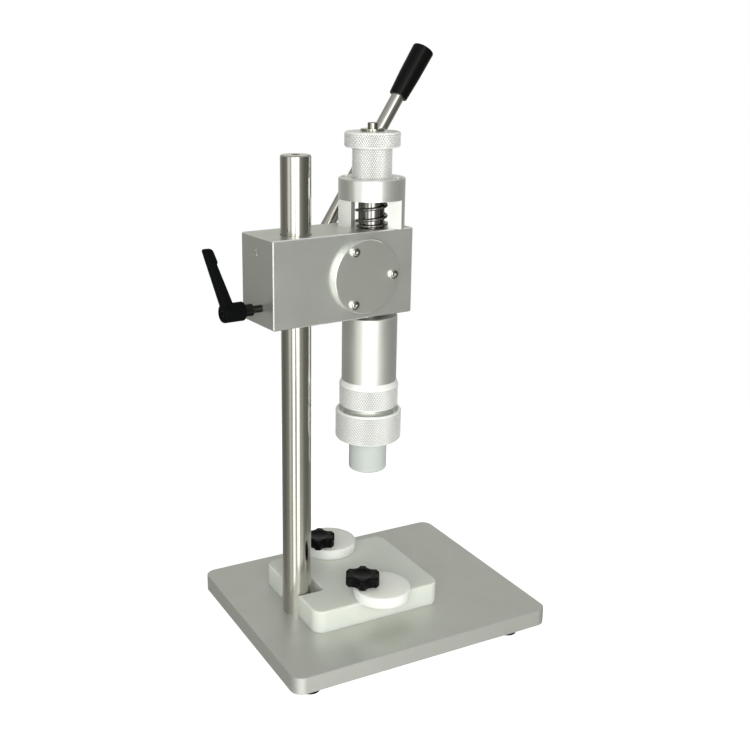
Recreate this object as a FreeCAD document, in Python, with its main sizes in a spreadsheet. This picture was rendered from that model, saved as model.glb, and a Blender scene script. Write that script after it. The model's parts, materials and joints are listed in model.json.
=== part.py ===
import FreeCAD, Part
import math
import os
import re
import Sketcher
from FreeCAD import Vector

# A bench press for perfume caps: a base plate with a column, a head that slides and swivels on the
# column, and a ram that a rack and pinion drives down from a lever.
# The origin is on the floor under the middle of the base plate. +Z is up, the operator stands at -Y,
# the column is at +Y and the lever is on the +X side.

doc = FreeCAD.newDocument("capping_machine")

# Driving dimensions in millimetres and degrees
driving = {
    # Base plate and feet
    "plate_length": 250,
    "plate_width": 200,
    "plate_thickness": 15,
    "plate_corner": 10,
    "plate_edge": 0.4,
    "foot_diameter": 20,
    "foot_height": 7,
    "foot_taper": 1.5,
    "foot_side_inset": 15.5,
    "foot_front_inset": 33,
    "foot_rear_inset": 20.5,
    "foot_recess_depth": 4,
    "foot_recess_gap": 0.5,
    "foot_screw_diameter": 5,
    "foot_screw_bite": 8,
    "foot_screw_head_diameter": 9,
    "foot_screw_head_height": 3,
    # Column
    "column_diameter": 25,
    "column_height": 400,
    "column_place": 75,
    "column_edge": 1,
    "column_seat_depth": 4,
    "column_top_hole_diameter": 6.8,
    "column_top_hole_depth": 18,
    "column_screw_diameter": 8,
    "column_screw_bite": 18,
    "column_screw_head_diameter": 13,
    "column_screw_head_height": 5,
    # Jig plate and its locators
    "jig_length": 124,
    "jig_width": 106,
    "jig_thickness": 20,
    "jig_corner": 10,
    "jig_edge": 1.5,
    "jig_side_shift": 5,
    "jig_front": -44,
    "notch_width": 35.6,
    "notch_depth": 25,
    "notch_corner": 4,
    "jig_screw_inset": 15,
    "jig_screw_diameter": 5,
    "jig_screw_bite": 11,
    "jig_screw_head_diameter": 8.5,
    "jig_screw_head_height": 5,
    "disc_diameter": 50,
    "disc_thickness": 10,
    "disc_edge": 0.8,
    "disc_spread": 49.5,
    "disc_place": 14.5,
    "pivot_spread": 42,
    "pivot_place": 29.5,
    "knob_diameter": 31,
    "knob_height": 8.7,
    "knob_lobes": 6,
    "knob_turn": 30,
    "knob_scallop_diameter": 13,
    "knob_scallop_depth": 3.4,
    "knob_rounding": 1.2,
    "knob_hub_diameter": 14,
    "knob_hub_height": 2,
    "knob_stud_diameter": 6,
    "knob_stud_edge": 0.6,
    "knob_stud_hold": 7,
    "insert_diameter": 9,
    "insert_length": 13,
    # Head block, clamped on the column
    "head_height": 264,
    "head_swivel": 4.19,
    "block_height": 72.5,
    "block_rear": 32.4,
    "block_front": 101.6,
    "block_left": 20.5,
    "block_right": 32.8,
    "block_edge": 0.8,
    "column_bush_wall": 3.5,
    "bush_lip": 4,
    "bush_lip_gap": 0.5,
    "circlip_width": 1.2,
    "circlip_depth": 1.2,
    "circlip_inset": 1.3,
    "circlip_reach": 2,
    "drag_screw_diameter": 6,
    "drag_screw_length": 12,
    "drag_screw_side": 6.4,
    "drag_screw_drop": 12.9,
    # Rack and pinion
    "ram_reach": 73,
    "tooth_module": 1.5,
    "pinion_teeth": 16,
    "pinion_width": 14,
    "pinion_height": 36,
    "pressure_angle": 20,
    "tooth_backlash": 0.15,
    "tooth_root_gap": 0.5,
    "rack_line": 8,
    "rack_addendum": 1.35,
    "rack_dedendum": 1.9,
    "shaft_diameter": 14,
    "shaft_edge": 0.6,
    "shaft_start_gap": 0.5,
    "shaft_end_gap": 0.2,
    "shaft_bush_wall": 7,
    "front_bush_length": 10.6,
    "rear_bush_length": 22,
    # Round covers on both faces of the block
    "cover_diameter": 62,
    "cover_thickness": 5,
    "cover_edge": 0.6,
    "cover_screw_circle": 50.6,
    "cover_screw_count": 3,
    "cover_screw_diameter": 4,
    "cover_screw_bite": 6,
    "cover_thread_run_out": 0.5,
    "cover_screw_head_diameter": 7.6,
    "cover_screw_head_height": 2.2,
    "boss_diameter": 40,
    "boss_length": 15,
    # Lever
    "lever_plane": 67.7,
    "lever_tilt": 33.7,
    "lever_hub_diameter": 32,
    "lever_hub_length": 28.8,
    "lever_hub_edge": 1,
    "lever_rod_diameter": 12,
    "lever_rod_length": 200,
    "lever_rod_edge": 1,
    "lever_socket_floor": 8.5,
    "hub_screw_diameter": 6,
    "grip_hold": 32.7,
    "grip_length": 50.2,
    "grip_start_diameter": 17,
    "grip_waist_distance": 21.5,
    "grip_waist_diameter": 19.2,
    "grip_end_diameter": 20.2,
    "grip_rounding": 2.5,
    "grip_edge": 1,
    "end_washer_diameter": 22,
    "end_washer_thickness": 2,
    "end_screw_diameter": 6,
    "end_screw_bite": 14,
    "end_screw_head_diameter": 10.5,
    "end_screw_head_height": 3.3,
    # Guide cage on top of the block
    "cage_diameter": 55.8,
    "cage_bore": 34,
    "cage_leg_height": 24,
    "cage_leg_width": 11,
    "cage_ring_height": 17.4,
    "cage_turn": 50,
    "cage_edge": 0.6,
    "cage_screw_circle": 44.9,
    "cage_screw_diameter": 4,
    "cage_screw_bite": 12,
    "cage_screw_head_diameter": 7,
    "cage_screw_head_height": 4,
    "cage_screw_sink": 0.5,
    # Ram with its spring, stroke stop and guide bushes
    "ram_diameter": 22,
    "ram_edge": 0.8,
    "ram_thread_diameter": 16,
    "ram_shoulder": 5,
    "ram_foot_depth": 40,
    "guide_bush_wall": 3,
    "guide_bush_length": 20,
    "spring_length": 40.1,
    "spring_diameter": 27.5,
    "spring_wire": 2.5,
    "spring_turns": 5,
    "neck_diameter": 33.3,
    "neck_height": 26,
    "neck_edge": 0.8,
    "stroke_knob_diameter": 46.6,
    "stroke_knob_height": 12.8,
    "stroke_knob_edge": 1.5,
    "knob_washer_diameter": 20,
    "knob_washer_thickness": 2,
    "cap_screw_diameter": 5,
    "cap_screw_bite": 14,
    "cap_screw_head_diameter": 8.5,
    "cap_screw_head_height": 5,
    # Press tube, locking sleeve, holder nut and press head
    "tube_gap": 3,
    "tube_diameter": 47.6,
    "tube_length": 57.6,
    "tube_edge": 0.6,
    "spigot_diameter": 44,
    "tube_screw_diameter": 6,
    "tube_screw_drop": 18,
    "sleeve_diameter": 51.4,
    "sleeve_height": 23.3,
    "sleeve_edge": 0.8,
    "sleeve_chamfer": 3.1,
    "nut_gap": 3.9,
    "nut_diameter": 57.8,
    "nut_height": 26.8,
    "nut_edge": 1,
    "nut_recess_diameter": 52.5,
    "nut_recess_depth": 5,
    "nut_lip": 2.6,
    "press_head_diameter": 33.4,
    "press_head_reach": 29.3,
    "press_head_flange_diameter": 43,
    "press_head_flange_thickness": 5,
    "press_head_edge": 2,
    "press_head_clearance": 0.3,
    "socket_diameter": 20,
    "socket_depth": 12,
    # Clamp lever on the rear face of the block
    "clamp_height": 15,
    "clamp_stud_diameter": 6,
    "clamp_stud_edge": 0.5,
    "clamp_stud_gap": 0.3,
    "clamp_stand_off": 8.8,
    "clamp_collar_diameter": 10,
    "clamp_collar_length": 7.5,
    "clamp_core_diameter": 9,
    "clamp_core_length": 8,
    "clamp_hub_diameter": 15.5,
    "clamp_hub_length": 19.3,
    "clamp_hub_edge": 0.8,
    "clamp_hub_crown": 2,
    "clamp_lift": 3.2,
    "clamp_spring_solid": 1.8,
    "clamp_web": 2.5,
    "clamp_screw_diameter": 4,
    "clamp_screw_head_diameter": 7,
    "clamp_screw_head_height": 3,
    "clamp_arm_height": 53,
    "clamp_arm_lean": 18.8,
    "clamp_arm_inset": 6.9,
    "clamp_arm_width": 11.1,
    "clamp_tip_width": 6.9,
    "clamp_arm_thickness": 8.5,
    "clamp_arm_rounding": 2.2,
    # Screw shapes
    "screw_point": 0.4,
    "screw_head_edge": 0.4,
    "screw_socket_share": 0.46,
    "screw_socket_depth_share": 0.5,
    "dome_crown_share": 0.55,
    "dome_brim_share": 0.35,
    "grub_point": 1,
    "grub_edge": 0.3,
    "grub_inset": 2,
    "grub_socket_share": 0.29,
    "grub_socket_depth": 2.5,
    # Fits
    "running_fit": 0.05,
    "face_gap": 0.1,
    "thread_gap": 0.1,
    "bore_gap": 0.2,
    "screw_way_gap": 0.2,
    "screw_head_gap": 0.3,
    "screw_head_cover": 1,
    "screw_end_gap": 1,
    "thread_run_out": 2,
}

# Sizes and places that follow from the driving dimensions
derived = {
    "plate_top": "foot_height + plate_thickness",
    "jig_top": "plate_top + jig_thickness",
    "jig_rear": "jig_front + jig_length",
    "disc_top": "jig_top + disc_thickness",
    "knob_seat": "disc_top + face_gap",
    "column_screw_way": "column_screw_diameter + 2 * screw_way_gap",
    "column_counterbore_depth": "column_screw_head_height + screw_head_cover",
    "jig_screw_way": "jig_screw_diameter + 2 * screw_way_gap",
    "jig_counterbore_depth": "jig_screw_head_height + screw_head_cover",
    "column_bush_outer": "column_diameter + 2 * column_bush_wall",
    "column_bush_bottom": "circlip_inset + circlip_width + face_gap",
    "column_bush_top": "block_height - bush_lip - face_gap",
    "rack_pitch": "pi * tooth_module",
    "pinion_pitch_radius": "tooth_module * pinion_teeth / 2",
    "pinion_tip_radius": "pinion_pitch_radius + tooth_module",
    "pinion_reach": "ram_reach - rack_line - pinion_pitch_radius",
    "cover_screw_way": "cover_screw_diameter + 2 * screw_way_gap",
    "cross_bore": "shaft_diameter + 2 * shaft_bush_wall",
    "guide_bore": "ram_diameter + 2 * guide_bush_wall",
    "lever_hub_end": "lever_plane + lever_hub_length / 2",
    "grip_start": "lever_rod_length - grip_hold",
    "ring_bottom": "block_height + cage_leg_height",
    "ring_top": "ring_bottom + cage_ring_height",
    "cage_screw_way": "cage_screw_diameter + 2 * screw_way_gap",
    "cage_screw_seat": "ring_top - cage_screw_head_height - cage_screw_sink",
    "neck_bottom": "block_height + spring_length",
    "neck_top": "neck_bottom + neck_height",
    "stroke_knob_top": "neck_top + stroke_knob_height",
    "ram_top": "stroke_knob_top + face_gap",
    "stroke": "neck_top - ring_top",
    "tube_top": "-tube_gap",
    "tube_shoulder": "tube_top - tube_length",
    "sleeve_bottom": "tube_shoulder - sleeve_height",
    "nut_top": "sleeve_bottom - nut_gap",
    "nut_bottom": "nut_top - nut_height",
    "spigot_end": "nut_bottom + nut_lip + face_gap + press_head_flange_thickness",
    "press_head_bottom": "nut_bottom - press_head_reach",
    "clamp_core_start": "clamp_stand_off + clamp_collar_length",
    "clamp_core_end": "clamp_core_start + clamp_core_length",
    "clamp_hub_end": "clamp_core_start + clamp_hub_length",
    "clamp_arm_foot": "clamp_hub_end - clamp_arm_inset",
    "clamp_web_end": "clamp_core_end + clamp_web",
    "clamp_screw_way": "clamp_screw_diameter + 2 * screw_way_gap",
    "clamp_screw_seat": "clamp_web_end + clamp_lift + clamp_spring_solid",
}

sheets = {}
for title, rows in (("Sizes", driving), ("Derived", derived)):
    sheets[title] = doc.addObject("Spreadsheet::Sheet", title)


def spelled(text):
    """Write each named size in an expression as a reference to its cell."""
    def reference(word):
        name = word.group(0)
        if name in driving:
            return "Sizes." + name
        if name in derived:
            return "Derived." + name
        return name
    return re.sub(r"[a-z][a-z0-9_]*", reference, text)


for row, (name, number_of_mm) in enumerate(driving.items(), start=1):
    sheets["Sizes"].set(f"A{row}", name)
    sheets["Sizes"].set(f"B{row}", str(number_of_mm))
    sheets["Sizes"].setAlias(f"B{row}", name)
for row, (name, formula) in enumerate(derived.items(), start=1):
    sheets["Derived"].set(f"A{row}", name)
    sheets["Derived"].set(f"B{row}", "=" + spelled(formula))
    sheets["Derived"].setAlias(f"B{row}", name)
doc.recompute()


def number(text):
    """Work out an expression of named sizes."""
    return float(sheets["Sizes"].evalExpression(spelled(text)))


# Frames that the pieces are placed in

X_AXIS = (1, 0, 0)
Y_AXIS = (0, 1, 0)
Z_AXIS = (0, 0, 1)


def place(piece, at=("0", "0", "0"), axis=Z_AXIS, angle="0", frame=None):
    """Bind a Placement: a point, and a turn about an axis, in a frame or in the model's own axes."""
    point = "; ".join(spelled(text) for text in at)
    turn = "; ".join(str(part) for part in axis)
    placement = f"placement(vector({point}); rotation(vector({turn}); {spelled(angle)}))"
    if frame is not None:
        placement = f"{frame.Name}.Placement * {placement}"
    piece.setExpression("Placement", placement)
    return piece


def new_frame(name, at=("0", "0", "0"), axis=Z_AXIS, angle="0", frame=None):
    return place(doc.addObject("App::Placement", name), at, axis, angle, frame)


# The head's frame lies on the column's axis at the block's underside. Its -Y points to the operator.
head = new_frame("HeadFrame", ("0", "column_place", "plate_top + head_height"), Z_AXIS, "head_swivel")
ram = new_frame("RamFrame", ("0", "-ram_reach", "0"), frame=head)
# Along +Z of the lever's frame runs the lever, from the pinion's axis up and towards the operator.
lever = new_frame("LeverFrame", ("lever_plane", "-pinion_reach", "pinion_height"), X_AXIS, "lever_tilt",
                  frame=head)
# The clamp's frame stands on the rear face, with +Z pointing away from it and +Y straight down.
clamp = new_frame("ClampFrame", ("0", "block_rear", "clamp_height"), X_AXIS, "-90", frame=head)

# Ways of making a piece

subparts = []
# Two places closer than this are the same
SAME = 0.001


def keep(piece):
    """List a finished sub-part for export, under its own label."""
    piece.Label = piece.Name
    subparts.append(piece)
    return piece


def draw(body, plane, outline):
    """Sketch a closed outline of straight lines with every corner bound to named sizes."""
    sketch = body.newObject("Sketcher::SketchObject", body.Name + "_outline")
    plane_feature = next(item for item in body.Origin.OriginFeatures if item.Role == plane)
    sketch.AttachmentSupport = [(plane_feature, "")]
    sketch.MapMode = "FlatFace"
    corners = [Vector(number(across), number(up), 0) for across, up in outline]
    count = len(corners)
    for index in range(count):
        sketch.addGeometry(Part.LineSegment(corners[index], corners[(index + 1) % count]))
    for index in range(count):
        sketch.addConstraint(Sketcher.Constraint("Coincident", index, 2, (index + 1) % count, 1))
    for index, (across, up) in enumerate(outline):
        for text, kind, own_axis, value in ((across, "DistanceX", -2, corners[index].x),
                                            (up, "DistanceY", -1, corners[index].y)):
            if text == "0":
                sketch.addConstraint(Sketcher.Constraint("PointOnObject", index, 1, own_axis))
                continue
            made = sketch.addConstraint(Sketcher.Constraint(kind, -1, 1, index, 1, value))
            title = f"{kind}_{index}"
            sketch.renameConstraint(made, title)
            sketch.setExpression(f"Constraints.{title}", spelled(text))
    return sketch


def turned(name, outline):
    """A turned piece: a closed outline of (radius, height) spun about its own upright axis."""
    body = doc.addObject("PartDesign::Body", name)
    spin = body.newObject("PartDesign::Revolution", name + "_turning")
    sketch = draw(body, "XZ_Plane", outline)
    spin.Profile = sketch
    spin.ReferenceAxis = (sketch, ["V_Axis"])
    spin.Angle = 360
    body.Tip = spin
    return body


def sawn(name, plane, outline, thickness, symmetric=False):
    """A piece sawn from plate: a closed outline padded to a thickness."""
    body = doc.addObject("PartDesign::Body", name)
    sketch = draw(body, plane, outline)
    pad = body.newObject("PartDesign::Pad", name + "_pad")
    pad.Profile = sketch
    pad.setExpression("Length", spelled(thickness))
    if symmetric:
        pad.SideType = "Symmetric"
    return body


def edged(body, kind, size, wanted):
    """Round or bevel the edges of a body's last feature that pass a test."""
    doc.recompute()
    base = body.Tip
    names = [f"Edge{index}" for index, edge in enumerate(base.Shape.Edges, start=1) if wanted(edge)]
    feature = body.newObject("PartDesign::" + kind, f"{body.Name}_{kind}_{len(body.Group)}")
    feature.Base = (base, names)
    feature.setExpression("Radius" if kind == "Fillet" else "Size", spelled(size))
    return body


def is_upright(edge):
    ends = [vertex.Point for vertex in edge.Vertexes]
    return len(ends) == 2 and abs(ends[0].x - ends[1].x) + abs(ends[0].y - ends[1].y) < SAME


def is_level(edge):
    return edge.BoundBox.ZLength < SAME


def is_rim(edge, height, radius):
    """Tell the circle of a turned piece at one height and radius."""
    round_edge = not edge.Degenerated and isinstance(edge.Curve, Part.Circle)
    return (round_edge and abs(edge.Curve.Radius - number(radius)) < SAME
            and abs(edge.BoundBox.ZMax - number(height)) < SAME)


def rod(name, diameter, length, at=("0", "0", "0"), axis=Z_AXIS, angle="0", frame=None):
    """A plain cylinder, used for holes and for round bar."""
    cylinder = doc.addObject("Part::Cylinder", name)
    cylinder.setExpression("Radius", spelled(f"({diameter}) / 2"))
    cylinder.setExpression("Height", spelled(length))
    return place(cylinder, at, axis, angle, frame)


def fused(name, pieces):
    whole = doc.addObject("Part::MultiFuse", name)
    whole.Shapes = pieces
    return whole


def cut(name, base, tools):
    """Take one or more tools away from a base."""
    result = doc.addObject("Part::Cut", name)
    result.Base = base
    result.Tool = tools[0] if len(tools) == 1 else fused(name + "_holes", tools)
    return result


def screw(name, diameter, length, head_diameter, head_height, domed=False):
    """A socket screw that points down: its head stands on z = 0 and its shank runs below."""
    crown = f"({head_diameter}) / 2 - screw_head_edge"
    brim = f"({head_height}) - screw_head_edge"
    if domed:
        crown = f"({head_diameter}) / 2 * dome_crown_share"
        brim = f"({head_height}) * dome_brim_share"
    body = turned(name + "_turned", [
        ("0", f"-({length})"),
        (f"({diameter}) / 2 - screw_point", f"-({length})"),
        (f"({diameter}) / 2", f"screw_point - ({length})"),
        (f"({diameter}) / 2", "0"),
        (f"({head_diameter}) / 2", "0"),
        (f"({head_diameter}) / 2", brim),
        (crown, head_height),
        ("0", head_height),
    ])
    socket = doc.addObject("Part::Prism", name + "_socket")
    socket.Polygon = 6
    socket.setExpression("Circumradius", spelled(f"({diameter}) * screw_socket_share"))
    socket.setExpression("Height", spelled(f"({head_height}) * screw_socket_depth_share"))
    place(socket, ("0", "0", f"({head_height}) * (1 - screw_socket_depth_share)"))
    return cut(name, body, [socket])


def grub(name, diameter, length):
    """A headless set screw with its socket end at z = 0 and its cup point below."""
    body = turned(name + "_turned", [
        ("0", f"-({length})"),
        (f"({diameter}) / 2 - grub_point", f"-({length})"),
        (f"({diameter}) / 2", f"grub_point - ({length})"),
        (f"({diameter}) / 2", "-grub_edge"),
        (f"({diameter}) / 2 - grub_edge", "0"),
        ("0", "0"),
    ])
    socket = doc.addObject("Part::Prism", name + "_socket")
    socket.Polygon = 6
    socket.setExpression("Circumradius", spelled(f"({diameter}) * grub_socket_share"))
    socket.setExpression("Height", spelled("grub_socket_depth"))
    place(socket, ("0", "0", "-grub_socket_depth"))
    return cut(name, body, [socket])


def repeated(name, pattern, spots, axis=Z_AXIS, angle="0", frame=None):
    """Copies of one fastener, each a solid of its own, gathered in one sub-part."""
    copies = []
    for index, spot in enumerate(spots, start=1):
        copy = doc.addObject("App::Link", f"{name}_{index}")
        copy.LinkedObject = pattern
        copies.append(place(copy, spot, axis, angle, frame))
    group = doc.addObject("Part::Compound", name)
    group.Links = copies
    return keep(group)


# Feet: moulded rubber, each held by a screw from below

foot_spots = []
for side in ("-1", "1"):
    across = f"{side} * (plate_width / 2 - foot_side_inset)"
    foot_spots.append((across, "foot_front_inset - plate_length / 2", "0"))
    foot_spots.append((across, "plate_length / 2 - foot_rear_inset", "0"))
foot = turned("foot_pattern", [
    ("foot_screw_head_diameter / 2 + foot_recess_gap", "0"),
    ("foot_diameter / 2 - foot_taper", "0"),
    ("foot_diameter / 2", "foot_height"),
    ("foot_screw_diameter / 2 + thread_gap", "foot_height"),
    ("foot_screw_diameter / 2 + thread_gap", "foot_recess_depth"),
    ("foot_screw_head_diameter / 2 + foot_recess_gap", "foot_recess_depth"),
])
repeated("rubber_feet", foot, foot_spots)
foot_screw = screw("foot_screw_pattern", "foot_screw_diameter",
                   "foot_height - foot_recess_depth + foot_screw_bite",
                   "foot_screw_head_diameter", "foot_screw_head_height", domed=True)
repeated("foot_screws", foot_screw,
         [(across, along, "foot_recess_depth") for across, along, low in foot_spots], X_AXIS, "180")

# Base plate: milled aluminium with bead-blasted faces

plate = sawn("base_plate_blank", "XY_Plane", [
    ("-plate_width / 2", "-plate_length / 2"),
    ("plate_width / 2", "-plate_length / 2"),
    ("plate_width / 2", "plate_length / 2"),
    ("-plate_width / 2", "plate_length / 2"),
], "plate_thickness")
edged(plate, "Fillet", "plate_corner", is_upright)
edged(plate, "Chamfer", "plate_edge", is_level)
place(plate, ("0", "0", "foot_height"))

jig_screw_spots = []
for side in ("-1", "1"):
    across = f"jig_side_shift + {side} * (jig_width / 2 - jig_screw_inset)"
    jig_screw_spots.append((across, "jig_front + jig_screw_inset", "foot_height + jig_counterbore_depth"))
    jig_screw_spots.append((across, "jig_rear - jig_screw_inset", "foot_height + jig_counterbore_depth"))

plate_holes = [
    rod("column_seat", "column_diameter + 2 * running_fit", "column_seat_depth",
        ("0", "column_place", "plate_top - column_seat_depth")),
    rod("column_screw_hole", "column_screw_way", "plate_thickness",
        ("0", "column_place", "foot_height")),
    rod("column_screw_counterbore", "column_screw_head_diameter + 2 * screw_head_gap",
        "column_counterbore_depth", ("0", "column_place", "foot_height")),
]
for index, (across, along, low) in enumerate(foot_spots, start=1):
    plate_holes.append(rod(f"foot_thread_{index}", "foot_screw_diameter", "foot_screw_bite + thread_run_out",
                           (across, along, "foot_height")))
for index, (across, along, low) in enumerate(jig_screw_spots, start=1):
    plate_holes.append(rod(f"jig_screw_way_{index}", "jig_screw_way", "plate_thickness",
                           (across, along, "foot_height")))
    plate_holes.append(rod(f"jig_screw_counterbore_{index}", "jig_screw_head_diameter + 2 * screw_head_gap",
                           "jig_counterbore_depth", (across, along, "foot_height")))
keep(cut("base_plate", plate, plate_holes))

# Column: ground stainless bar, sunk in a shallow seat and drawn down by one screw

column_foot = "plate_top - column_seat_depth"
column = turned("column", [
    ("column_screw_diameter / 2", "0"),
    ("column_diameter / 2", "0"),
    ("column_diameter / 2", "column_seat_depth + column_height - column_edge"),
    ("column_diameter / 2 - column_edge", "column_seat_depth + column_height"),
    ("column_top_hole_diameter / 2", "column_seat_depth + column_height"),
    ("column_top_hole_diameter / 2", "column_seat_depth + column_height - column_top_hole_depth"),
    ("0", "column_seat_depth + column_height - column_top_hole_depth"),
    ("0", "column_screw_bite + 2 * thread_run_out"),
    ("column_screw_diameter / 2", "column_screw_bite + 2 * thread_run_out"),
])
keep(place(column, ("0", "column_place", column_foot)))
column_screw = screw("column_screw_pattern", "column_screw_diameter",
                     "plate_thickness - column_seat_depth - column_counterbore_depth + column_screw_bite",
                     "column_screw_head_diameter", "column_screw_head_height")
repeated("column_screw", column_screw, [("0", "column_place", "foot_height + column_counterbore_depth")],
         X_AXIS, "180")

# Jig plate: white nylon, notched round the column and screwed down from below

jig = sawn("jig_blank", "XY_Plane", [
    ("jig_side_shift - jig_width / 2", "jig_front"),
    ("jig_side_shift + jig_width / 2", "jig_front"),
    ("jig_side_shift + jig_width / 2", "jig_rear"),
    ("jig_side_shift + notch_width / 2", "jig_rear"),
    ("jig_side_shift + notch_width / 2", "jig_rear - notch_depth"),
    ("jig_side_shift - notch_width / 2", "jig_rear - notch_depth"),
    ("jig_side_shift - notch_width / 2", "jig_rear"),
    ("jig_side_shift - jig_width / 2", "jig_rear"),
], "jig_thickness")
jig_half_width = number("jig_width / 2")
jig_shift = number("jig_side_shift")


def is_outer_corner(edge):
    return is_upright(edge) and abs(abs(edge.Vertexes[0].X - jig_shift) - jig_half_width) < SAME


def is_notch_corner(edge):
    return is_upright(edge) and abs(edge.Vertexes[0].Y - number("jig_rear - notch_depth")) < SAME


def is_on_jig_top(edge):
    return is_level(edge) and abs(edge.BoundBox.ZMax - number("jig_thickness")) < SAME


edged(jig, "Fillet", "jig_corner", is_outer_corner)
edged(jig, "Fillet", "notch_corner", is_notch_corner)
edged(jig, "Fillet", "jig_edge", is_on_jig_top)
place(jig, ("0", "0", "plate_top"))
jig_holes = []
for index, (across, along, low) in enumerate(jig_screw_spots, start=1):
    jig_holes.append(rod(f"jig_thread_{index}", "jig_screw_diameter", "jig_screw_bite + thread_run_out",
                         (across, along, "plate_top")))
pivots = {"left": "jig_side_shift - pivot_spread", "right": "jig_side_shift + pivot_spread"}
for side, across in pivots.items():
    jig_holes.append(rod(f"insert_hole_{side}", "insert_diameter", "insert_length",
                         (across, "pivot_place", "jig_top - insert_length")))
keep(cut("jig_plate", jig, jig_holes))
jig_screw = screw("jig_screw_pattern", "jig_screw_diameter",
                  "plate_thickness - jig_counterbore_depth + jig_screw_bite",
                  "jig_screw_head_diameter", "jig_screw_head_height")
repeated("jig_screws", jig_screw, jig_screw_spots, X_AXIS, "180")

# Threaded brass inserts that take the locators' studs

insert = turned("insert_pattern", [
    ("knob_stud_diameter / 2 + running_fit", "0"),
    ("insert_diameter / 2", "0"),
    ("insert_diameter / 2", "insert_length"),
    ("knob_stud_diameter / 2 + running_fit", "insert_length"),
])
repeated("knob_inserts", insert, [(across, "pivot_place", "jig_top - insert_length")
                                  for across in pivots.values()])

# Locators: an off-centre disc each side of the bottle, held by a star knob on a stud

for side, across in pivots.items():
    disc_centre = f"jig_side_shift {'-' if side == 'left' else '+'} disc_spread"
    disc = turned(f"{side}_disc_blank", [
        ("0", "0"),
        ("disc_diameter / 2 - disc_edge", "0"),
        ("disc_diameter / 2", "disc_edge"),
        ("disc_diameter / 2", "disc_thickness - disc_edge"),
        ("disc_diameter / 2 - disc_edge", "disc_thickness"),
        ("0", "disc_thickness"),
    ])
    place(disc, (disc_centre, "disc_place", "jig_top"))
    pivot_hole = rod(f"{side}_disc_hole", "knob_stud_diameter + 2 * running_fit", "disc_thickness",
                     (across, "pivot_place", "jig_top"))
    keep(cut(f"{side}_locator_disc", disc, [pivot_hole]))

    lobed = rod(f"{side}_knob_bar", "knob_diameter", "knob_height",
                (across, "pivot_place", "knob_seat + knob_hub_height"))
    scallops = []
    for lobe in range(int(number("knob_lobes"))):
        turn = f"(knob_turn + ({lobe} + 0.5) * 360 / knob_lobes)"
        reach = "(knob_diameter / 2 - knob_scallop_depth + knob_scallop_diameter / 2)"
        scallops.append(rod(f"{side}_knob_scallop_{lobe + 1}", "knob_scallop_diameter", "knob_height",
                            (f"{across} + {reach} * cos({turn})", f"pivot_place + {reach} * sin({turn})",
                             "knob_seat + knob_hub_height")))
    star = cut(f"{side}_knob_star", lobed, scallops)
    doc.recompute()
    rim = doc.addObject("Part::Fillet", f"{side}_knob_rim")
    rim.Base = star
    rounding = number("knob_rounding")
    rim.Edges = [(index, rounding, rounding) for index, edge in enumerate(star.Shape.Edges, start=1)
                 if is_level(edge)]
    knob_hub = rod(f"{side}_knob_hub", "knob_hub_diameter", "knob_hub_height",
                   (across, "pivot_place", "knob_seat"))
    whole_knob = fused(f"{side}_knob_whole", [rim, knob_hub])
    stud_top = "knob_seat + knob_hub_height + knob_stud_hold"
    stud_low = "jig_top - insert_length + screw_end_gap"
    stud_hole = rod(f"{side}_knob_hole", "knob_stud_diameter", f"{stud_top} - knob_seat",
                    (across, "pivot_place", "knob_seat"))
    keep(cut(f"{side}_star_knob", whole_knob, [stud_hole]))
    stud = turned(f"{side}_knob_stud", [
        ("0", "0"),
        ("knob_stud_diameter / 2 - knob_stud_edge", "0"),
        ("knob_stud_diameter / 2", "knob_stud_edge"),
        ("knob_stud_diameter / 2", f"{stud_top} - ({stud_low})"),
        ("0", f"{stud_top} - ({stud_low})"),
    ])
    keep(place(stud, (across, "pivot_place", stud_low)))

# Head block: milled aluminium, bored for the column bush, the ram's bushes and the pinion

block = sawn("head_block_blank", "XY_Plane", [
    ("-block_left", "-block_front"),
    ("block_right", "-block_front"),
    ("block_right", "block_rear"),
    ("-block_left", "block_rear"),
], "block_height")
edged(block, "Chamfer", "block_edge", lambda edge: True)
place(block, frame=head)

cover_spots = []
for index in range(int(number("cover_screw_count"))):
    turn = f"{index} * 360 / cover_screw_count"
    cover_spots.append((f"-pinion_reach - cover_screw_circle / 2 * cos({turn})",
                        f"pinion_height + cover_screw_circle / 2 * sin({turn})"))
# The cage's two legs stand on a line through the ram's axis
cage_spots = [(f"{sign} * cage_screw_circle / 2 * cos(90 - cage_turn)",
               f"{sign} * cage_screw_circle / 2 * sin(90 - cage_turn)") for sign in ("-1", "1")]

block_holes = [
    rod("column_bore", "column_bush_outer + 2 * running_fit", "block_height - bush_lip", frame=head),
    rod("column_lip_bore", "column_diameter + 2 * bush_lip_gap", "block_height", frame=head),
    rod("circlip_groove", "column_bush_outer + 2 * circlip_depth", "circlip_width + face_gap",
        ("0", "0", "circlip_inset"), frame=head),
    rod("ram_bore", "guide_bore", "block_height", frame=ram),
    rod("cross_bore_hole", "cross_bore", "block_left + block_right",
        ("-block_left", "-pinion_reach", "pinion_height"), Y_AXIS, "90", head),
    rod("clamp_thread", "clamp_stud_diameter + 2 * running_fit", "block_rear", ("0", "0", "-block_rear"),
        frame=clamp),
    rod("drag_thread", "drag_screw_diameter", "block_rear",
        ("drag_screw_side", "0", "block_height - drag_screw_drop"), X_AXIS, "-90", head),
]
for index, (along, up) in enumerate(cover_spots, start=1):
    block_holes.append(rod(f"front_cover_thread_{index}", "cover_screw_diameter",
                           "cover_screw_bite + cover_thread_run_out",
                           ("-block_left", along, up), Y_AXIS, "90", head))
    block_holes.append(rod(f"rear_cover_thread_{index}", "cover_screw_diameter",
                           "cover_screw_bite + cover_thread_run_out",
                           ("block_right", along, up), Y_AXIS, "-90", head))
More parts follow.
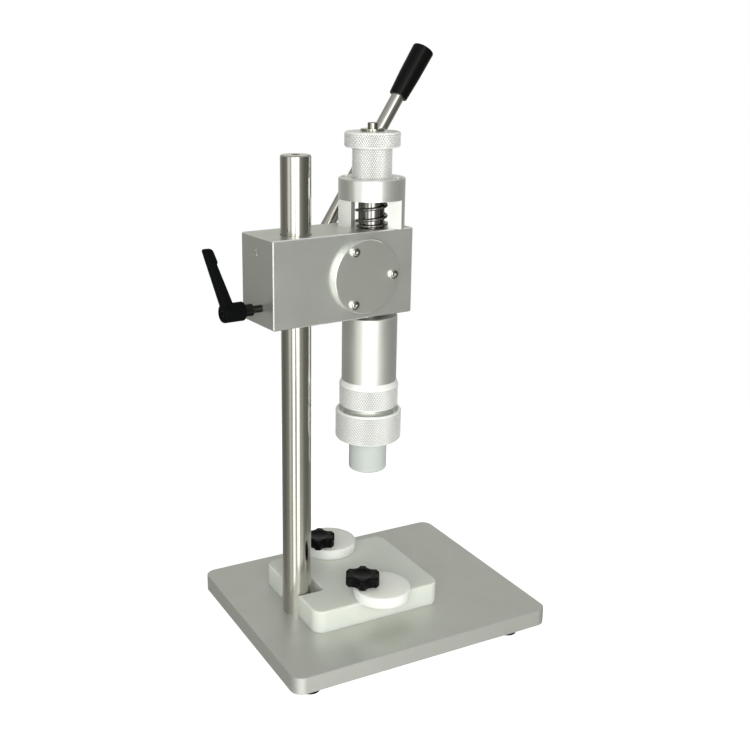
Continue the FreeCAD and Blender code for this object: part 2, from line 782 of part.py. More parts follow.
for index, (across, along) in enumerate(cage_spots, start=1):
    block_holes.append(rod(f"cage_thread_{index}", "cage_screw_diameter", "cage_screw_bite + thread_run_out",
                           (across, along, "block_height"), X_AXIS, "180", ram))
keep(cut("head_block", block, block_holes))

# Column bush: bronze, held between a lip in the block and a circlip

column_bush = turned("column_bush", [
    ("column_diameter / 2 + running_fit", "column_bush_bottom"),
    ("column_bush_outer / 2", "column_bush_bottom"),
    ("column_bush_outer / 2", "column_bush_top"),
    ("column_diameter / 2 + running_fit", "column_bush_top"),
])
keep(place(column_bush, frame=head))
circlip = turned("bush_circlip", [
    ("column_bush_outer / 2 - circlip_reach", "0"),
    ("column_bush_outer / 2 + circlip_depth - face_gap", "0"),
    ("column_bush_outer / 2 + circlip_depth - face_gap", "circlip_width"),
    ("column_bush_outer / 2 - circlip_reach", "circlip_width"),
])
keep(place(circlip, ("0", "0", "circlip_inset"), frame=head))
drag_screw = grub("drag_screw_pattern", "drag_screw_diameter", "drag_screw_length")
repeated("drag_screw", drag_screw,
         [("drag_screw_side", "block_rear - grub_inset", "block_height - drag_screw_drop")],
         X_AXIS, "-90", head)

# Pinion shaft bushes: bronze, pressed into the cross bore

for name, start, length in (
        ("front_shaft_bush", "-block_left", "front_bush_length"),
        ("rear_shaft_bush", "block_right - rear_bush_length", "rear_bush_length")):
    shaft_bush = turned(name, [
        ("shaft_diameter / 2 + running_fit", "0"),
        ("cross_bore / 2", "0"),
        ("cross_bore / 2", length),
        ("shaft_diameter / 2 + running_fit", length),
    ])
    keep(place(shaft_bush, (start, "-pinion_reach", "pinion_height"), Y_AXIS, "90", head))

# Ram guide bushes: bronze, pressed in above and below the pinion

for name, start in (("lower_guide_bush", "0"), ("upper_guide_bush", "block_height - guide_bush_length")):
    guide_bush = turned(name, [
        ("ram_diameter / 2 + running_fit", "0"),
        ("guide_bore / 2", "0"),
        ("guide_bore / 2", "guide_bush_length"),
        ("ram_diameter / 2 + running_fit", "guide_bush_length"),
    ])
    keep(place(guide_bush, ("0", "0", start), frame=ram))

# Shaft cover on the left face and bearing flange on the right face, three button screws each

cover = turned("shaft_cover_blank", [
    ("0", "0"),
    ("cover_diameter / 2", "0"),
    ("cover_diameter / 2", "cover_thickness - cover_edge"),
    ("cover_diameter / 2 - cover_edge", "cover_thickness"),
    ("0", "cover_thickness"),
])
place(cover, ("-block_left", "-pinion_reach", "pinion_height"), Y_AXIS, "-90", head)
cover_holes = []
for index, (along, up) in enumerate(cover_spots, start=1):
    cover_holes.append(rod(f"cover_way_{index}", "cover_screw_way", "cover_thickness",
                           ("-block_left", along, up), Y_AXIS, "-90", head))
keep(cut("shaft_cover", cover, cover_holes))
flange = turned("rear_flange_blank", [
    ("shaft_diameter / 2 + running_fit", "0"),
    ("cover_diameter / 2", "0"),
    ("cover_diameter / 2", "cover_thickness - cover_edge"),
    ("cover_diameter / 2 - cover_edge", "cover_thickness"),
    ("boss_diameter / 2", "cover_thickness"),
    ("boss_diameter / 2", "cover_thickness + boss_length - cover_edge"),
    ("boss_diameter / 2 - cover_edge", "cover_thickness + boss_length"),
    ("shaft_diameter / 2 + running_fit", "cover_thickness + boss_length"),
])
place(flange, ("block_right", "-pinion_reach", "pinion_height"), Y_AXIS, "90", head)
flange_holes = []
for index, (along, up) in enumerate(cover_spots, start=1):
    flange_holes.append(rod(f"flange_way_{index}", "cover_screw_way", "cover_thickness",
                            ("block_right", along, up), Y_AXIS, "90", head))
keep(cut("rear_flange", flange, flange_holes))
cover_screw = screw("cover_screw_pattern", "cover_screw_diameter", "cover_thickness + cover_screw_bite",
                    "cover_screw_head_diameter", "cover_screw_head_height", domed=True)
repeated("cover_screws", cover_screw,
         [("-block_left - cover_thickness", along, up) for along, up in cover_spots], Y_AXIS, "-90", head)
repeated("rear_flange_screws", cover_screw,
         [("block_right + cover_thickness", along, up) for along, up in cover_spots], Y_AXIS, "90", head)

# Pinion and rack, with involute flanks on the pinion and straight flanks on the rack


def pinion_teeth_shape():
    """The toothed ring, drawn about the X axis with one tooth pointing at the ram."""
    teeth = int(number("pinion_teeth"))
    pitch_radius = number("pinion_pitch_radius")
    tip_radius = number("pinion_tip_radius")
    root_radius = pitch_radius - number("rack_addendum") - number("tooth_root_gap")
    pressure = math.radians(number("pressure_angle"))
    base_radius = pitch_radius * math.cos(pressure)
    flank_steps = 4
    flank = []
    for step in range(flank_steps + 1):
        radius = base_radius + (tip_radius - base_radius) * step / flank_steps
        slope = math.acos(base_radius / radius)
        lead = (math.tan(pressure) - pressure) - (math.tan(slope) - slope)
        flank.append((radius, math.pi / (2 * teeth) + lead))
    flank.insert(0, (root_radius, flank[0][1]))
    corners = []
    for tooth in range(teeth):
        middle = 2 * math.pi * tooth / teeth
        rising = [(radius, middle - half) for radius, half in flank]
        falling = [(radius, middle + half) for radius, half in reversed(flank)]
        for radius, angle in rising + falling:
            corners.append(Vector(0, -radius * math.cos(angle), radius * math.sin(angle)))
    face = Part.Face(Part.makePolygon(corners + corners[:1]))
    width = number("pinion_width")
    face.translate(Vector(-width / 2, 0, 0))
    return face.extrude(Vector(width, 0, 0))


def rack_gaps_shape():
    """The cutter's path: a flat along the ram's rear side, and one tapered gap for each pitch."""
    pitch = number("rack_pitch")
    line = number("rack_line")
    slope = math.tan(math.radians(number("pressure_angle")))
    outer = line + number("rack_addendum")
    inner = line - number("rack_dedendum")
    half = (pitch / 2 + number("tooth_backlash")) / 2
    half_outer = half + (outer - line) * slope
    half_inner = half - (line - inner) * slope
    reach = number("ram_diameter")
    mesh = number("pinion_height")
    flat_reach = number("pinion_pitch_radius") - (outer - line)
    contact = math.sqrt(number("pinion_tip_radius") ** 2 - flat_reach ** 2)
    below = math.ceil(contact / pitch)
    above = math.ceil((number("stroke") + contact) / pitch)
    low = mesh - (below + 0.5) * pitch
    high = mesh + (above + 0.5) * pitch
    flat = Part.makeBox(2 * reach, reach, high - low, Vector(-reach, outer, low))
    # Each gap runs a little into the flat, so that the two cuts join
    overlap = 1
    gaps = []
    for index in range(-below, above + 1):
        middle = mesh + index * pitch
        corners = [Vector(-reach, depth, middle + up)
                   for depth, up in ((inner, -half_inner), (inner, half_inner), (outer, half_outer),
                                       (outer + overlap, half_outer), (outer + overlap, -half_outer),
                                       (outer, -half_outer))]
        gaps.append(Part.Face(Part.makePolygon(corners + corners[:1])).extrude(Vector(2 * reach, 0, 0)))
    return flat.fuse(gaps)


teeth = doc.addObject("Part::Feature", "pinion_tooth_ring")
teeth.Shape = pinion_teeth_shape()
place(teeth, ("0", "-pinion_reach", "pinion_height"), frame=head)
shaft_start = "-block_left + shaft_start_gap"
shaft_end = "lever_hub_end - shaft_end_gap"
shaft = turned("shaft_blank", [
    ("0", "0"),
    ("shaft_diameter / 2 - shaft_edge", "0"),
    ("shaft_diameter / 2", "shaft_edge"),
    ("shaft_diameter / 2", f"{shaft_end} - ({shaft_start})"),
    ("end_screw_diameter / 2", f"{shaft_end} - ({shaft_start})"),
    ("end_screw_diameter / 2", f"{shaft_end} - ({shaft_start}) - end_screw_bite - thread_run_out"),
    ("0", f"{shaft_end} - ({shaft_start}) - end_screw_bite - thread_run_out"),
])
place(shaft, (shaft_start, "-pinion_reach", "pinion_height"), Y_AXIS, "90", head)
keep(fused("pinion_shaft", [shaft, teeth]))

# Lever: a hub on the pinion shaft, a round bar screwed into it and a moulded grip

hub = turned("lever_hub_blank", [
    ("shaft_diameter / 2", "-lever_hub_length / 2"),
    ("lever_hub_diameter / 2 - lever_hub_edge", "-lever_hub_length / 2"),
    ("lever_hub_diameter / 2", "lever_hub_edge - lever_hub_length / 2"),
    ("lever_hub_diameter / 2", "lever_hub_length / 2 - lever_hub_edge"),
    ("lever_hub_diameter / 2 - lever_hub_edge", "lever_hub_length / 2"),
    ("shaft_diameter / 2", "lever_hub_length / 2"),
])
place(hub, axis=Y_AXIS, angle="90", frame=lever)
hub_holes = [
    rod("lever_socket", "lever_rod_diameter", "lever_hub_diameter / 2", ("0", "0", "lever_socket_floor"),
        frame=lever),
    rod("hub_screw_thread", "hub_screw_diameter", "lever_hub_diameter / 2", axis=X_AXIS, angle="180",
        frame=lever),
]
keep(cut("lever_hub", hub, hub_holes))
hub_screw = grub("hub_screw_pattern", "hub_screw_diameter",
                 "(lever_hub_diameter - shaft_diameter) / 2 - grub_inset")
repeated("hub_set_screw", hub_screw, [("0", "0", "grub_inset - lever_hub_diameter / 2")],
         X_AXIS, "180", lever)
lever_rod = turned("lever_rod", [
    ("0", "lever_socket_floor"),
    ("lever_rod_diameter / 2", "lever_socket_floor"),
    ("lever_rod_diameter / 2", "lever_rod_length - lever_rod_edge"),
    ("lever_rod_diameter / 2 - lever_rod_edge", "lever_rod_length"),
    ("0", "lever_rod_length"),
])
keep(place(lever_rod, frame=lever))
grip = turned("lever_grip", [
    ("lever_rod_diameter / 2", "grip_start"),
    ("grip_start_diameter / 2 - grip_edge", "grip_start"),
    ("grip_start_diameter / 2", "grip_start + grip_edge"),
    ("grip_waist_diameter / 2", "grip_start + grip_waist_distance"),
    ("grip_end_diameter / 2", "grip_start + grip_length - grip_rounding - grip_edge"),
    ("grip_end_diameter / 2", "grip_start + grip_length"),
    ("0", "grip_start + grip_length"),
    ("0", "lever_rod_length"),
    ("lever_rod_diameter / 2 - lever_rod_edge", "lever_rod_length"),
    ("lever_rod_diameter / 2", "lever_rod_length - lever_rod_edge"),
])
edged(grip, "Fillet", "grip_rounding",
      lambda edge: is_rim(edge, "grip_start + grip_length", "grip_end_diameter / 2"))
keep(place(grip, frame=lever))
end_washer = turned("shaft_end_washer", [
    ("end_screw_diameter / 2 + bore_gap", "0"),
    ("end_washer_diameter / 2", "0"),
    ("end_washer_diameter / 2", "end_washer_thickness"),
    ("end_screw_diameter / 2 + bore_gap", "end_washer_thickness"),
])
keep(place(end_washer, ("lever_hub_end", "-pinion_reach", "pinion_height"), Y_AXIS, "90", head))
end_screw = screw("end_screw_pattern", "end_screw_diameter", "end_washer_thickness + end_screw_bite",
                  "end_screw_head_diameter", "end_screw_head_height", domed=True)
repeated("shaft_end_screw", end_screw,
         [("lever_hub_end + end_washer_thickness", "-pinion_reach", "pinion_height")], Y_AXIS, "90", head)

# Guide cage: an aluminium ring on two legs, screwed to the block by two long screws

cage_blank = turned("cage_blank", [
    ("cage_bore / 2", "block_height"),
    ("cage_diameter / 2", "block_height"),
    ("cage_diameter / 2", "ring_top - cage_edge"),
    ("cage_diameter / 2 - cage_edge", "ring_top"),
    ("cage_bore / 2 + cage_edge", "ring_top"),
    ("cage_bore / 2", "ring_top - cage_edge"),
])
place(cage_blank, frame=ram)
cage_cuts = []
for sign in ("-1", "1"):
    window = doc.addObject("Part::Box", f"cage_window_{'left' if sign == '-1' else 'right'}")
    window.setExpression("Length", spelled("2 * cage_diameter"))
    window.setExpression("Width", spelled("cage_diameter"))
    window.setExpression("Height", spelled("cage_leg_height"))
    corner_across = "-cage_diameter"
    corner_along = "cage_leg_width / 2" if sign == "1" else "-cage_leg_width / 2 - cage_diameter"
    turn = "(90 - cage_turn)"
    place(window, (f"{corner_across} * cos({turn}) - ({corner_along}) * sin({turn})",
                   f"{corner_across} * sin({turn}) + ({corner_along}) * cos({turn})",
                   "block_height"), Z_AXIS, turn, ram)
    cage_cuts.append(window)
for index, (across, along) in enumerate(cage_spots, start=1):
    cage_cuts.append(rod(f"cage_way_{index}", "cage_screw_way", "ring_top - block_height",
                         (across, along, "block_height"), frame=ram))
    cage_cuts.append(rod(f"cage_counterbore_{index}", "cage_screw_head_diameter + 2 * screw_head_gap",
                         "cage_screw_head_height + cage_screw_sink",
                         (across, along, "cage_screw_seat"), frame=ram))
keep(cut("guide_cage", cage_blank, cage_cuts))
cage_screw = screw("cage_screw_pattern", "cage_screw_diameter",
                   "cage_screw_seat - block_height + cage_screw_bite",
                   "cage_screw_head_diameter", "cage_screw_head_height")
repeated("cage_screws", cage_screw,
         [(across, along, "cage_screw_seat") for across, along in cage_spots], frame=ram)

# Return spring: round steel wire, standing on the upper guide bush under the adjusting sleeve

coil = doc.addObject("Part::Helix", "spring_path")
coil.setExpression("Radius", spelled("(spring_diameter - spring_wire) / 2"))
coil.setExpression("Height", spelled("spring_length - spring_wire"))
coil.setExpression("Pitch", spelled("(spring_length - spring_wire) / spring_turns"))
place(coil, ("0", "0", "block_height + spring_wire / 2"), frame=ram)
wire = doc.addObject("Part::Circle", "spring_section")
wire.setExpression("Radius", spelled("spring_wire / 2"))
place(wire, ("(spring_diameter - spring_wire) / 2", "0", "block_height + spring_wire / 2"),
      X_AXIS, "90", ram)
spring = doc.addObject("Part::Sweep", "return_spring")
spring.Sections = [wire]
spring.Spine = coil
spring.Solid = True
spring.Frenet = True
keep(spring)

# Ram: ground steel bar with the rack cut in its rear side and a threaded upper end

ram_bar = turned("ram_bar", [
    ("0", "tube_top - ram_foot_depth"),
    ("ram_diameter / 2 - ram_edge", "tube_top - ram_foot_depth"),
    ("ram_diameter / 2", "tube_top - ram_foot_depth + ram_edge"),
    ("ram_diameter / 2", "neck_bottom + ram_shoulder - ram_edge"),
    ("ram_diameter / 2 - ram_edge", "neck_bottom + ram_shoulder"),
    ("ram_thread_diameter / 2", "neck_bottom + ram_shoulder"),
    ("ram_thread_diameter / 2", "ram_top"),
    ("cap_screw_diameter / 2", "ram_top"),
    ("cap_screw_diameter / 2", "ram_top - cap_screw_bite - thread_run_out"),
    ("0", "ram_top - cap_screw_bite - thread_run_out"),
])
place(ram_bar, frame=ram)
rack_gaps = doc.addObject("Part::Feature", "rack_gaps")
rack_gaps.Shape = rack_gaps_shape()
place(rack_gaps, frame=ram)
keep(cut("ram_shaft", ram_bar, [rack_gaps]))

# Stroke stop: a knurled sleeve and a knurled knob on the ram's thread, under a washer and a cap screw

neck = turned("adjusting_sleeve", [
    ("ram_diameter / 2 + bore_gap", "neck_bottom"),
    ("neck_diameter / 2 - neck_edge", "neck_bottom"),
    ("neck_diameter / 2", "neck_bottom + neck_edge"),
    ("neck_diameter / 2", "neck_top - neck_edge"),
    ("neck_diameter / 2 - neck_edge", "neck_top"),
    ("ram_thread_diameter / 2 + running_fit", "neck_top"),
    ("ram_thread_diameter / 2 + running_fit", "neck_bottom + ram_shoulder + face_gap"),
    ("ram_diameter / 2 + bore_gap", "neck_bottom + ram_shoulder + face_gap"),
])
keep(place(neck, frame=ram))
stroke_knob = turned("stroke_knob", [
    ("ram_thread_diameter / 2 + running_fit", "neck_top + face_gap"),
    ("stroke_knob_diameter / 2 - stroke_knob_edge", "neck_top + face_gap"),
    ("stroke_knob_diameter / 2", "neck_top + face_gap + stroke_knob_edge"),
    ("stroke_knob_diameter / 2", "stroke_knob_top - stroke_knob_edge"),
    ("stroke_knob_diameter / 2 - stroke_knob_edge", "stroke_knob_top"),
    ("ram_thread_diameter / 2 + running_fit", "stroke_knob_top"),
])
keep(place(stroke_knob, frame=ram))
knob_washer = turned("knob_washer", [
    ("cap_screw_diameter / 2 + bore_gap", "0"),
    ("knob_washer_diameter / 2", "0"),
    ("knob_washer_diameter / 2", "knob_washer_thickness"),
    ("cap_screw_diameter / 2 + bore_gap", "knob_washer_thickness"),
])
keep(place(knob_washer, ("0", "0", "ram_top"), frame=ram))
cap_screw = screw("cap_screw_pattern", "cap_screw_diameter", "knob_washer_thickness + cap_screw_bite",
                  "cap_screw_head_diameter", "cap_screw_head_height")
repeated("cap_screw", cap_screw, [("0", "0", "ram_top + knob_washer_thickness")], frame=ram)

# Press tube: aluminium, slid over the ram's lower end and held by a set screw

tube = turned("press_tube_blank", [
    ("ram_diameter / 2", "tube_top"),
    ("tube_diameter / 2 - tube_edge", "tube_top"),
    ("tube_diameter / 2", "tube_top - tube_edge"),
    ("tube_diameter / 2", "tube_shoulder"),
    ("spigot_diameter / 2", "tube_shoulder"),
    ("spigot_diameter / 2", "spigot_end"),
    ("0", "spigot_end"),
    ("0", "tube_top - ram_foot_depth"),
    ("ram_diameter / 2", "tube_top - ram_foot_depth"),
])
place(tube, frame=ram)
tube_screw_hole = rod("tube_screw_thread", "tube_screw_diameter", "tube_diameter / 2",
                      ("0", "0", "tube_top - tube_screw_drop"), X_AXIS, "90", ram)
keep(cut("press_tube", tube, [tube_screw_hole]))
tube_screw = grub("tube_screw_pattern", "tube_screw_diameter",
                  "(tube_diameter - ram_diameter) / 2 - grub_inset")
repeated("tube_set_screw", tube_screw,
         [("0", "grub_inset - tube_diameter / 2", "tube_top - tube_screw_drop")], X_AXIS, "90", ram)

# Locking sleeve and holder nut: knurled, turning on the spigot's thread

sleeve = turned("knurled_sleeve", [
    ("spigot_diameter / 2 + running_fit", "sleeve_bottom"),
    ("sleeve_diameter / 2 - sleeve_edge", "sleeve_bottom"),
    ("sleeve_diameter / 2", "sleeve_bottom + sleeve_edge"),
    ("sleeve_diameter / 2", "tube_shoulder - face_gap - sleeve_chamfer"),
    ("tube_diameter / 2", "tube_shoulder - face_gap"),
    ("spigot_diameter / 2 + running_fit", "tube_shoulder - face_gap"),
])
keep(place(sleeve, frame=ram))
nut = turned("holder_nut", [
    ("press_head_diameter / 2 + press_head_clearance", "nut_bottom"),
    ("nut_diameter / 2 - nut_edge", "nut_bottom"),
    ("nut_diameter / 2", "nut_bottom + nut_edge"),
    ("nut_diameter / 2", "nut_top - nut_edge"),
    ("nut_diameter / 2 - nut_edge", "nut_top"),
    ("nut_recess_diameter / 2", "nut_top"),
    ("nut_recess_diameter / 2", "nut_top - nut_recess_depth"),
    ("spigot_diameter / 2 + running_fit", "nut_top - nut_recess_depth"),
    ("spigot_diameter / 2 + running_fit", "nut_bottom + nut_lip"),
    ("press_head_diameter / 2 + press_head_clearance", "nut_bottom + nut_lip"),
])
keep(place(nut, frame=ram))

# Press head: white nylon with a socket for the cap, its flange held between the nut and the spigot

press_head = turned("press_head", [
    ("socket_diameter / 2", "press_head_bottom"),
    ("press_head_diameter / 2", "press_head_bottom"),
    ("press_head_diameter / 2", "spigot_end - press_head_flange_thickness"),
    ("press_head_flange_diameter / 2", "spigot_end - press_head_flange_thickness"),
    ("press_head_flange_diameter / 2", "spigot_end"),
    ("0", "spigot_end"),
    ("0", "press_head_bottom + socket_depth"),
    ("socket_diameter / 2", "press_head_bottom + socket_depth"),
])
edged(press_head, "Fillet", "press_head_edge",
      lambda edge: is_rim(edge, "press_head_bottom", "press_head_diameter / 2"))
keep(place(press_head, frame=ram))

# Clamp lever: a steel stud that pinches the column bush, and a die-cast handle that lifts to be re-set

stud_point = "column_bush_outer / 2 + clamp_stud_gap - block_rear"
clamp_stud = turned("clamp_stud", [
    ("0", stud_point),
    ("clamp_stud_diameter / 2 - clamp_stud_edge", stud_point),
    ("clamp_stud_diameter / 2", f"{stud_point} + clamp_stud_edge"),
    ("clamp_stud_diameter / 2", "clamp_stand_off"),
    ("clamp_collar_diameter / 2", "clamp_stand_off"),
    ("clamp_collar_diameter / 2", "clamp_core_start - face_gap"),
    ("clamp_core_diameter / 2", "clamp_core_start - face_gap"),
    ("clamp_core_diameter / 2", "clamp_core_end"),
    ("clamp_screw_diameter / 2", "clamp_core_end"),
    ("clamp_screw_diameter / 2", "clamp_core_start"),
    ("0", "clamp_core_start"),
])
keep(place(clamp_stud, frame=clamp))
clamp_screw = screw("clamp_screw_pattern", "clamp_screw_diameter",
                    "clamp_screw_seat - clamp_core_start - screw_end_gap",
                    "clamp_screw_head_diameter", "clamp_screw_head_height")
repeated("clamp_screw", clamp_screw, [("0", "0", "clamp_screw_seat")], frame=clamp)
clamp_hub = turned("clamp_hub", [
    ("0", "clamp_core_start"),
    ("clamp_hub_diameter / 2 - clamp_hub_edge", "clamp_core_start"),
    ("clamp_hub_diameter / 2", "clamp_core_start + clamp_hub_edge"),
    ("clamp_hub_diameter / 2", "clamp_hub_end - clamp_hub_crown"),
    ("clamp_hub_diameter / 2 - clamp_hub_crown", "clamp_hub_end"),
    ("0", "clamp_hub_end"),
])
place(clamp_hub, frame=clamp)
arm = sawn("clamp_arm", "YZ_Plane", [
    ("0", "clamp_arm_foot - clamp_arm_width / 2"),
    ("-clamp_arm_height", "clamp_arm_foot + clamp_arm_lean - clamp_tip_width / 2"),
    ("-clamp_arm_height", "clamp_arm_foot + clamp_arm_lean + clamp_tip_width / 2"),
    ("0", "clamp_arm_foot + clamp_arm_width / 2"),
], "clamp_arm_thickness", symmetric=True)
# Every edge is rounded but those of the arm's foot, which lies inside the hub
edged(arm, "Fillet", "clamp_arm_rounding", lambda edge: edge.BoundBox.YMin < -SAME)
place(arm, frame=clamp)
handle_blank = fused("clamp_handle_blank", [clamp_hub, arm])
handle_holes = [
    rod("clamp_core_hole", "clamp_core_diameter + 2 * running_fit", "clamp_core_length + face_gap",
        ("0", "0", "clamp_core_start"), frame=clamp),
    rod("clamp_web_hole", "clamp_screw_way", "clamp_hub_length", ("0", "0", "clamp_core_start"),
        frame=clamp),
    rod("clamp_spring_hole", "clamp_screw_head_diameter + 2 * screw_head_gap", "clamp_hub_length",
        ("0", "0", "clamp_web_end"), frame=clamp),
]
keep(cut("clamp_handle", handle_blank, handle_holes))

# Check every object, then write each sub-part

doc.recompute()
for item in doc.Objects:
    if "Invalid" in item.State or "Error" in item.State:
        raise RuntimeError(f"{item.Name} did not build: {item.State}")
for piece in subparts:
    if piece.Shape.isNull() or not piece.Shape.isValid() or not piece.Shape.Solids:
        raise RuntimeError(f"{piece.Name} has no valid solid")

os.makedirs("parts", exist_ok=True)
for piece in subparts:
    piece.Shape.exportStep(os.path.join("parts", piece.Label + ".step"))
    box = piece.Shape.BoundBox
    spans = [f"{axis} {low:7.2f} {high:7.2f}" for axis, low, high in (
        ("x", box.XMin, box.XMax), ("y", box.YMin, box.YMax), ("z", box.ZMin, box.ZMax))]
    solids = len(piece.Shape.Solids)
    print(f"{piece.Label:22s} {solids} solid(s) {piece.Shape.Volume:10.1f} mm3 {' '.join(spans)}")
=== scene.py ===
import json
import math

import bmesh
import bpy
from mathutils import Matrix, Vector


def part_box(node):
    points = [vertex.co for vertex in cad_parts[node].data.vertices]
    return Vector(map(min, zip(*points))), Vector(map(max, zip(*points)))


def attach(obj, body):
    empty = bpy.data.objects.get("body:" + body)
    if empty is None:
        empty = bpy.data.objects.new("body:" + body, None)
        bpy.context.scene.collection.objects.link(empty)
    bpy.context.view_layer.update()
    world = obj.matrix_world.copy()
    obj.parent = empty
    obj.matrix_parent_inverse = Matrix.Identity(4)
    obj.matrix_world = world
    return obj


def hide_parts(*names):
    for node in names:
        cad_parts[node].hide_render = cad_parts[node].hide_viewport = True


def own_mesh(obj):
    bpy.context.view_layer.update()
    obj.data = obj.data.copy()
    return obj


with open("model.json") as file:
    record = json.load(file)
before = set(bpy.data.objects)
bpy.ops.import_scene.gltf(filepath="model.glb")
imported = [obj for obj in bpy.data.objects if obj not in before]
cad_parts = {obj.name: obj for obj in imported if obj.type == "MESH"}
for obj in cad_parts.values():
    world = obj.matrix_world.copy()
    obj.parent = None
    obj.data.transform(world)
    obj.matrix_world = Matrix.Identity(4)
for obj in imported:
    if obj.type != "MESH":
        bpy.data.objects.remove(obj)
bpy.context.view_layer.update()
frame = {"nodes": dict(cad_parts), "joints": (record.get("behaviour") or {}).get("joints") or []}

# Camera: a 50 mm lens on a full-frame body, looking slightly down at the machine from behind its
# left side, with the lens shifted as far as the photograph's framing needs.

camera_place = Vector((-0.7482, 0.4360, 0.5022))
camera_azimuth = math.radians(243.5)
camera_drop = math.radians(15.46)
lens_length = 50.0
lens_shift_x = 0.0877
lens_shift_y = -0.0505

camera_data = bpy.data.cameras.new("studio_camera")
camera_data.lens = lens_length
camera_data.sensor_width = 36.0
camera_data.shift_x = lens_shift_x
camera_data.shift_y = lens_shift_y
camera_data.clip_start = 0.05
camera_data.clip_end = 20.0
camera = bpy.data.objects.new("studio_camera", camera_data)
bpy.context.scene.collection.objects.link(camera)
sight = Vector((-math.sin(camera_azimuth) * math.cos(camera_drop),
                math.cos(camera_azimuth) * math.cos(camera_drop),
                -math.sin(camera_drop)))
camera.location = camera_place
camera.rotation_mode = "QUATERNION"
camera.rotation_quaternion = sight.to_track_quat("-Z", "Y")
bpy.context.scene.camera = camera

# Studio lights: soft boxes on stands. The strongest stands behind the camera, and two weak ones fill in
# from the camera's right and from overhead. None of them shows in the metal, which mirrors the screens.

bpy.context.scene.view_settings.view_transform = "Standard"
bpy.context.scene.view_settings.look = "None"
machine_middle = Vector((0, 0, 0.25))


def soft_light(name, place, width, height, watts):
    """A rectangular softbox that faces the machine's middle."""
    lamp = bpy.data.lights.new(name, "AREA")
    lamp.shape = "RECTANGLE"
    lamp.size = width
    lamp.size_y = height
    lamp.energy = watts
    stand = bpy.data.objects.new(name, lamp)
    bpy.context.scene.collection.objects.link(stand)
    stand.visible_glossy = False
    stand.location = place
    stand.rotation_mode = "QUATERNION"
    stand.rotation_quaternion = (machine_middle - Vector(place)).to_track_quat("-Z", "Y")


soft_light("key_light", (-1.10, 0.62, 0.55), 0.9, 0.7, 9.0)
soft_light("fill_light", (-1.00, -0.60, 0.50), 0.8, 0.7, 2.2)
soft_light("top_light", (0.2, -0.1, 2.0), 1.4, 1.4, 1.5)

# Studio surround: bright screens with grey gaps between them, which polished bar and turned pieces
# mirror as upright bands. The camera itself sees plain white behind the machine.

world = bpy.data.worlds.new("studio_surround")
bpy.context.scene.world = world
world.use_nodes = True
surround = world.node_tree
surround.nodes.clear()
outlook = surround.nodes.new("ShaderNodeTexCoord")
split = surround.nodes.new("ShaderNodeSeparateXYZ")
surround.links.new(outlook.outputs["Generated"], split.inputs[0])
turn = surround.nodes.new("ShaderNodeMath")
turn.operation = "ARCTAN2"
surround.links.new(split.outputs["Y"], turn.inputs[0])
surround.links.new(split.outputs["X"], turn.inputs[1])
share = surround.nodes.new("ShaderNodeMapRange")
share.inputs["From Min"].default_value = -math.pi
share.inputs["From Max"].default_value = math.pi
surround.links.new(turn.outputs[0], share.inputs["Value"])
# Each pair is the degrees round the machine from +X and the brightness of what is there: level with
# the machine's head, lower down, where the screens are narrower, and on the floor
level_stops = [
    (-180, 1.0), (-172, 0.32), (-155, 0.24), (-140, 0.15), (-100, 0.12), (-90, 0.20), (-60, 0.30),
    (-45, 0.62), (-20, 0.67), (0, 0.45), (27, 0.28), (50, 0.18), (75, 0.22), (88, 0.26), (98, 1.0),
    (110, 1.0), (117, 0.50), (125, 1.0), (130, 3.2), (142, 3.2), (148, 0.60), (152, 0.90), (158, 4.0),
    (172, 4.0), (176, 2.0), (180, 1.0),
]
lower_stops = [
    (-180, 0.55), (-172, 0.38), (-164, 0.45), (-155, 0.35), (-147, 0.22), (-117, 0.17), (-104, 0.17),
    (-90, 0.27), (-60, 0.30), (0, 0.30), (27, 0.18), (49, 0.15), (73, 0.23), (92, 0.32), (101, 0.70),
    (109, 0.78), (117, 0.36), (125, 0.55), (130, 2.6), (140, 2.6), (145, 0.30), (151, 0.30), (156, 0.50),
    (161, 2.6), (173, 2.6), (178, 0.60), (180, 0.55),
]
floor_stops = [
    (-180, 1.70), (-165, 1.70), (-155, 1.50), (-147, 0.70), (-138, 0.42), (-100, 0.30), (20, 0.32),
    (60, 0.30), (100, 0.45), (140, 1.30), (180, 1.70),
]
ceiling_grey = (0.50, 0.505, 0.50)
shade_underfoot = (0.08, 0.08, 0.075)
grey_blue = 0.90
white_blue = 0.98


def banded(stops):
    """The brightness round the machine, slightly warm, and the warmer the darker."""
    row = surround.nodes.new("ShaderNodeValToRGB")
    marks = row.color_ramp.elements
    while len(marks) < len(stops):
        marks.new(0.5)
    for mark, (degrees, level) in zip(marks, stops):
        mark.position = (degrees + 180) / 360
        mark.color = (level, level, level * (grey_blue if level < 1 else white_blue), 1)
    surround.links.new(share.outputs[0], row.inputs[0])
    return row.outputs[0]


def by_height(before, after, start, end):
    """Pass from one brightness to another between two heights. A height is -1 straight down and 1
    straight up."""
    passing = surround.nodes.new("ShaderNodeMapRange")
    passing.interpolation_type = "SMOOTHSTEP"
    passing.inputs["From Min"].default_value = start
    passing.inputs["From Max"].default_value = end
    surround.links.new(split.outputs["Z"], passing.inputs["Value"])
    mix = surround.nodes.new("ShaderNodeMix")
    mix.data_type = "RGBA"
    surround.links.new(passing.outputs[0], mix.inputs["Factor"])
    for side, level in (("A", before), ("B", after)):
        if isinstance(level, tuple):
            mix.inputs[side].default_value = level + (1,)
        else:
            surround.links.new(level, mix.inputs[side])
    return mix.outputs["Result"]


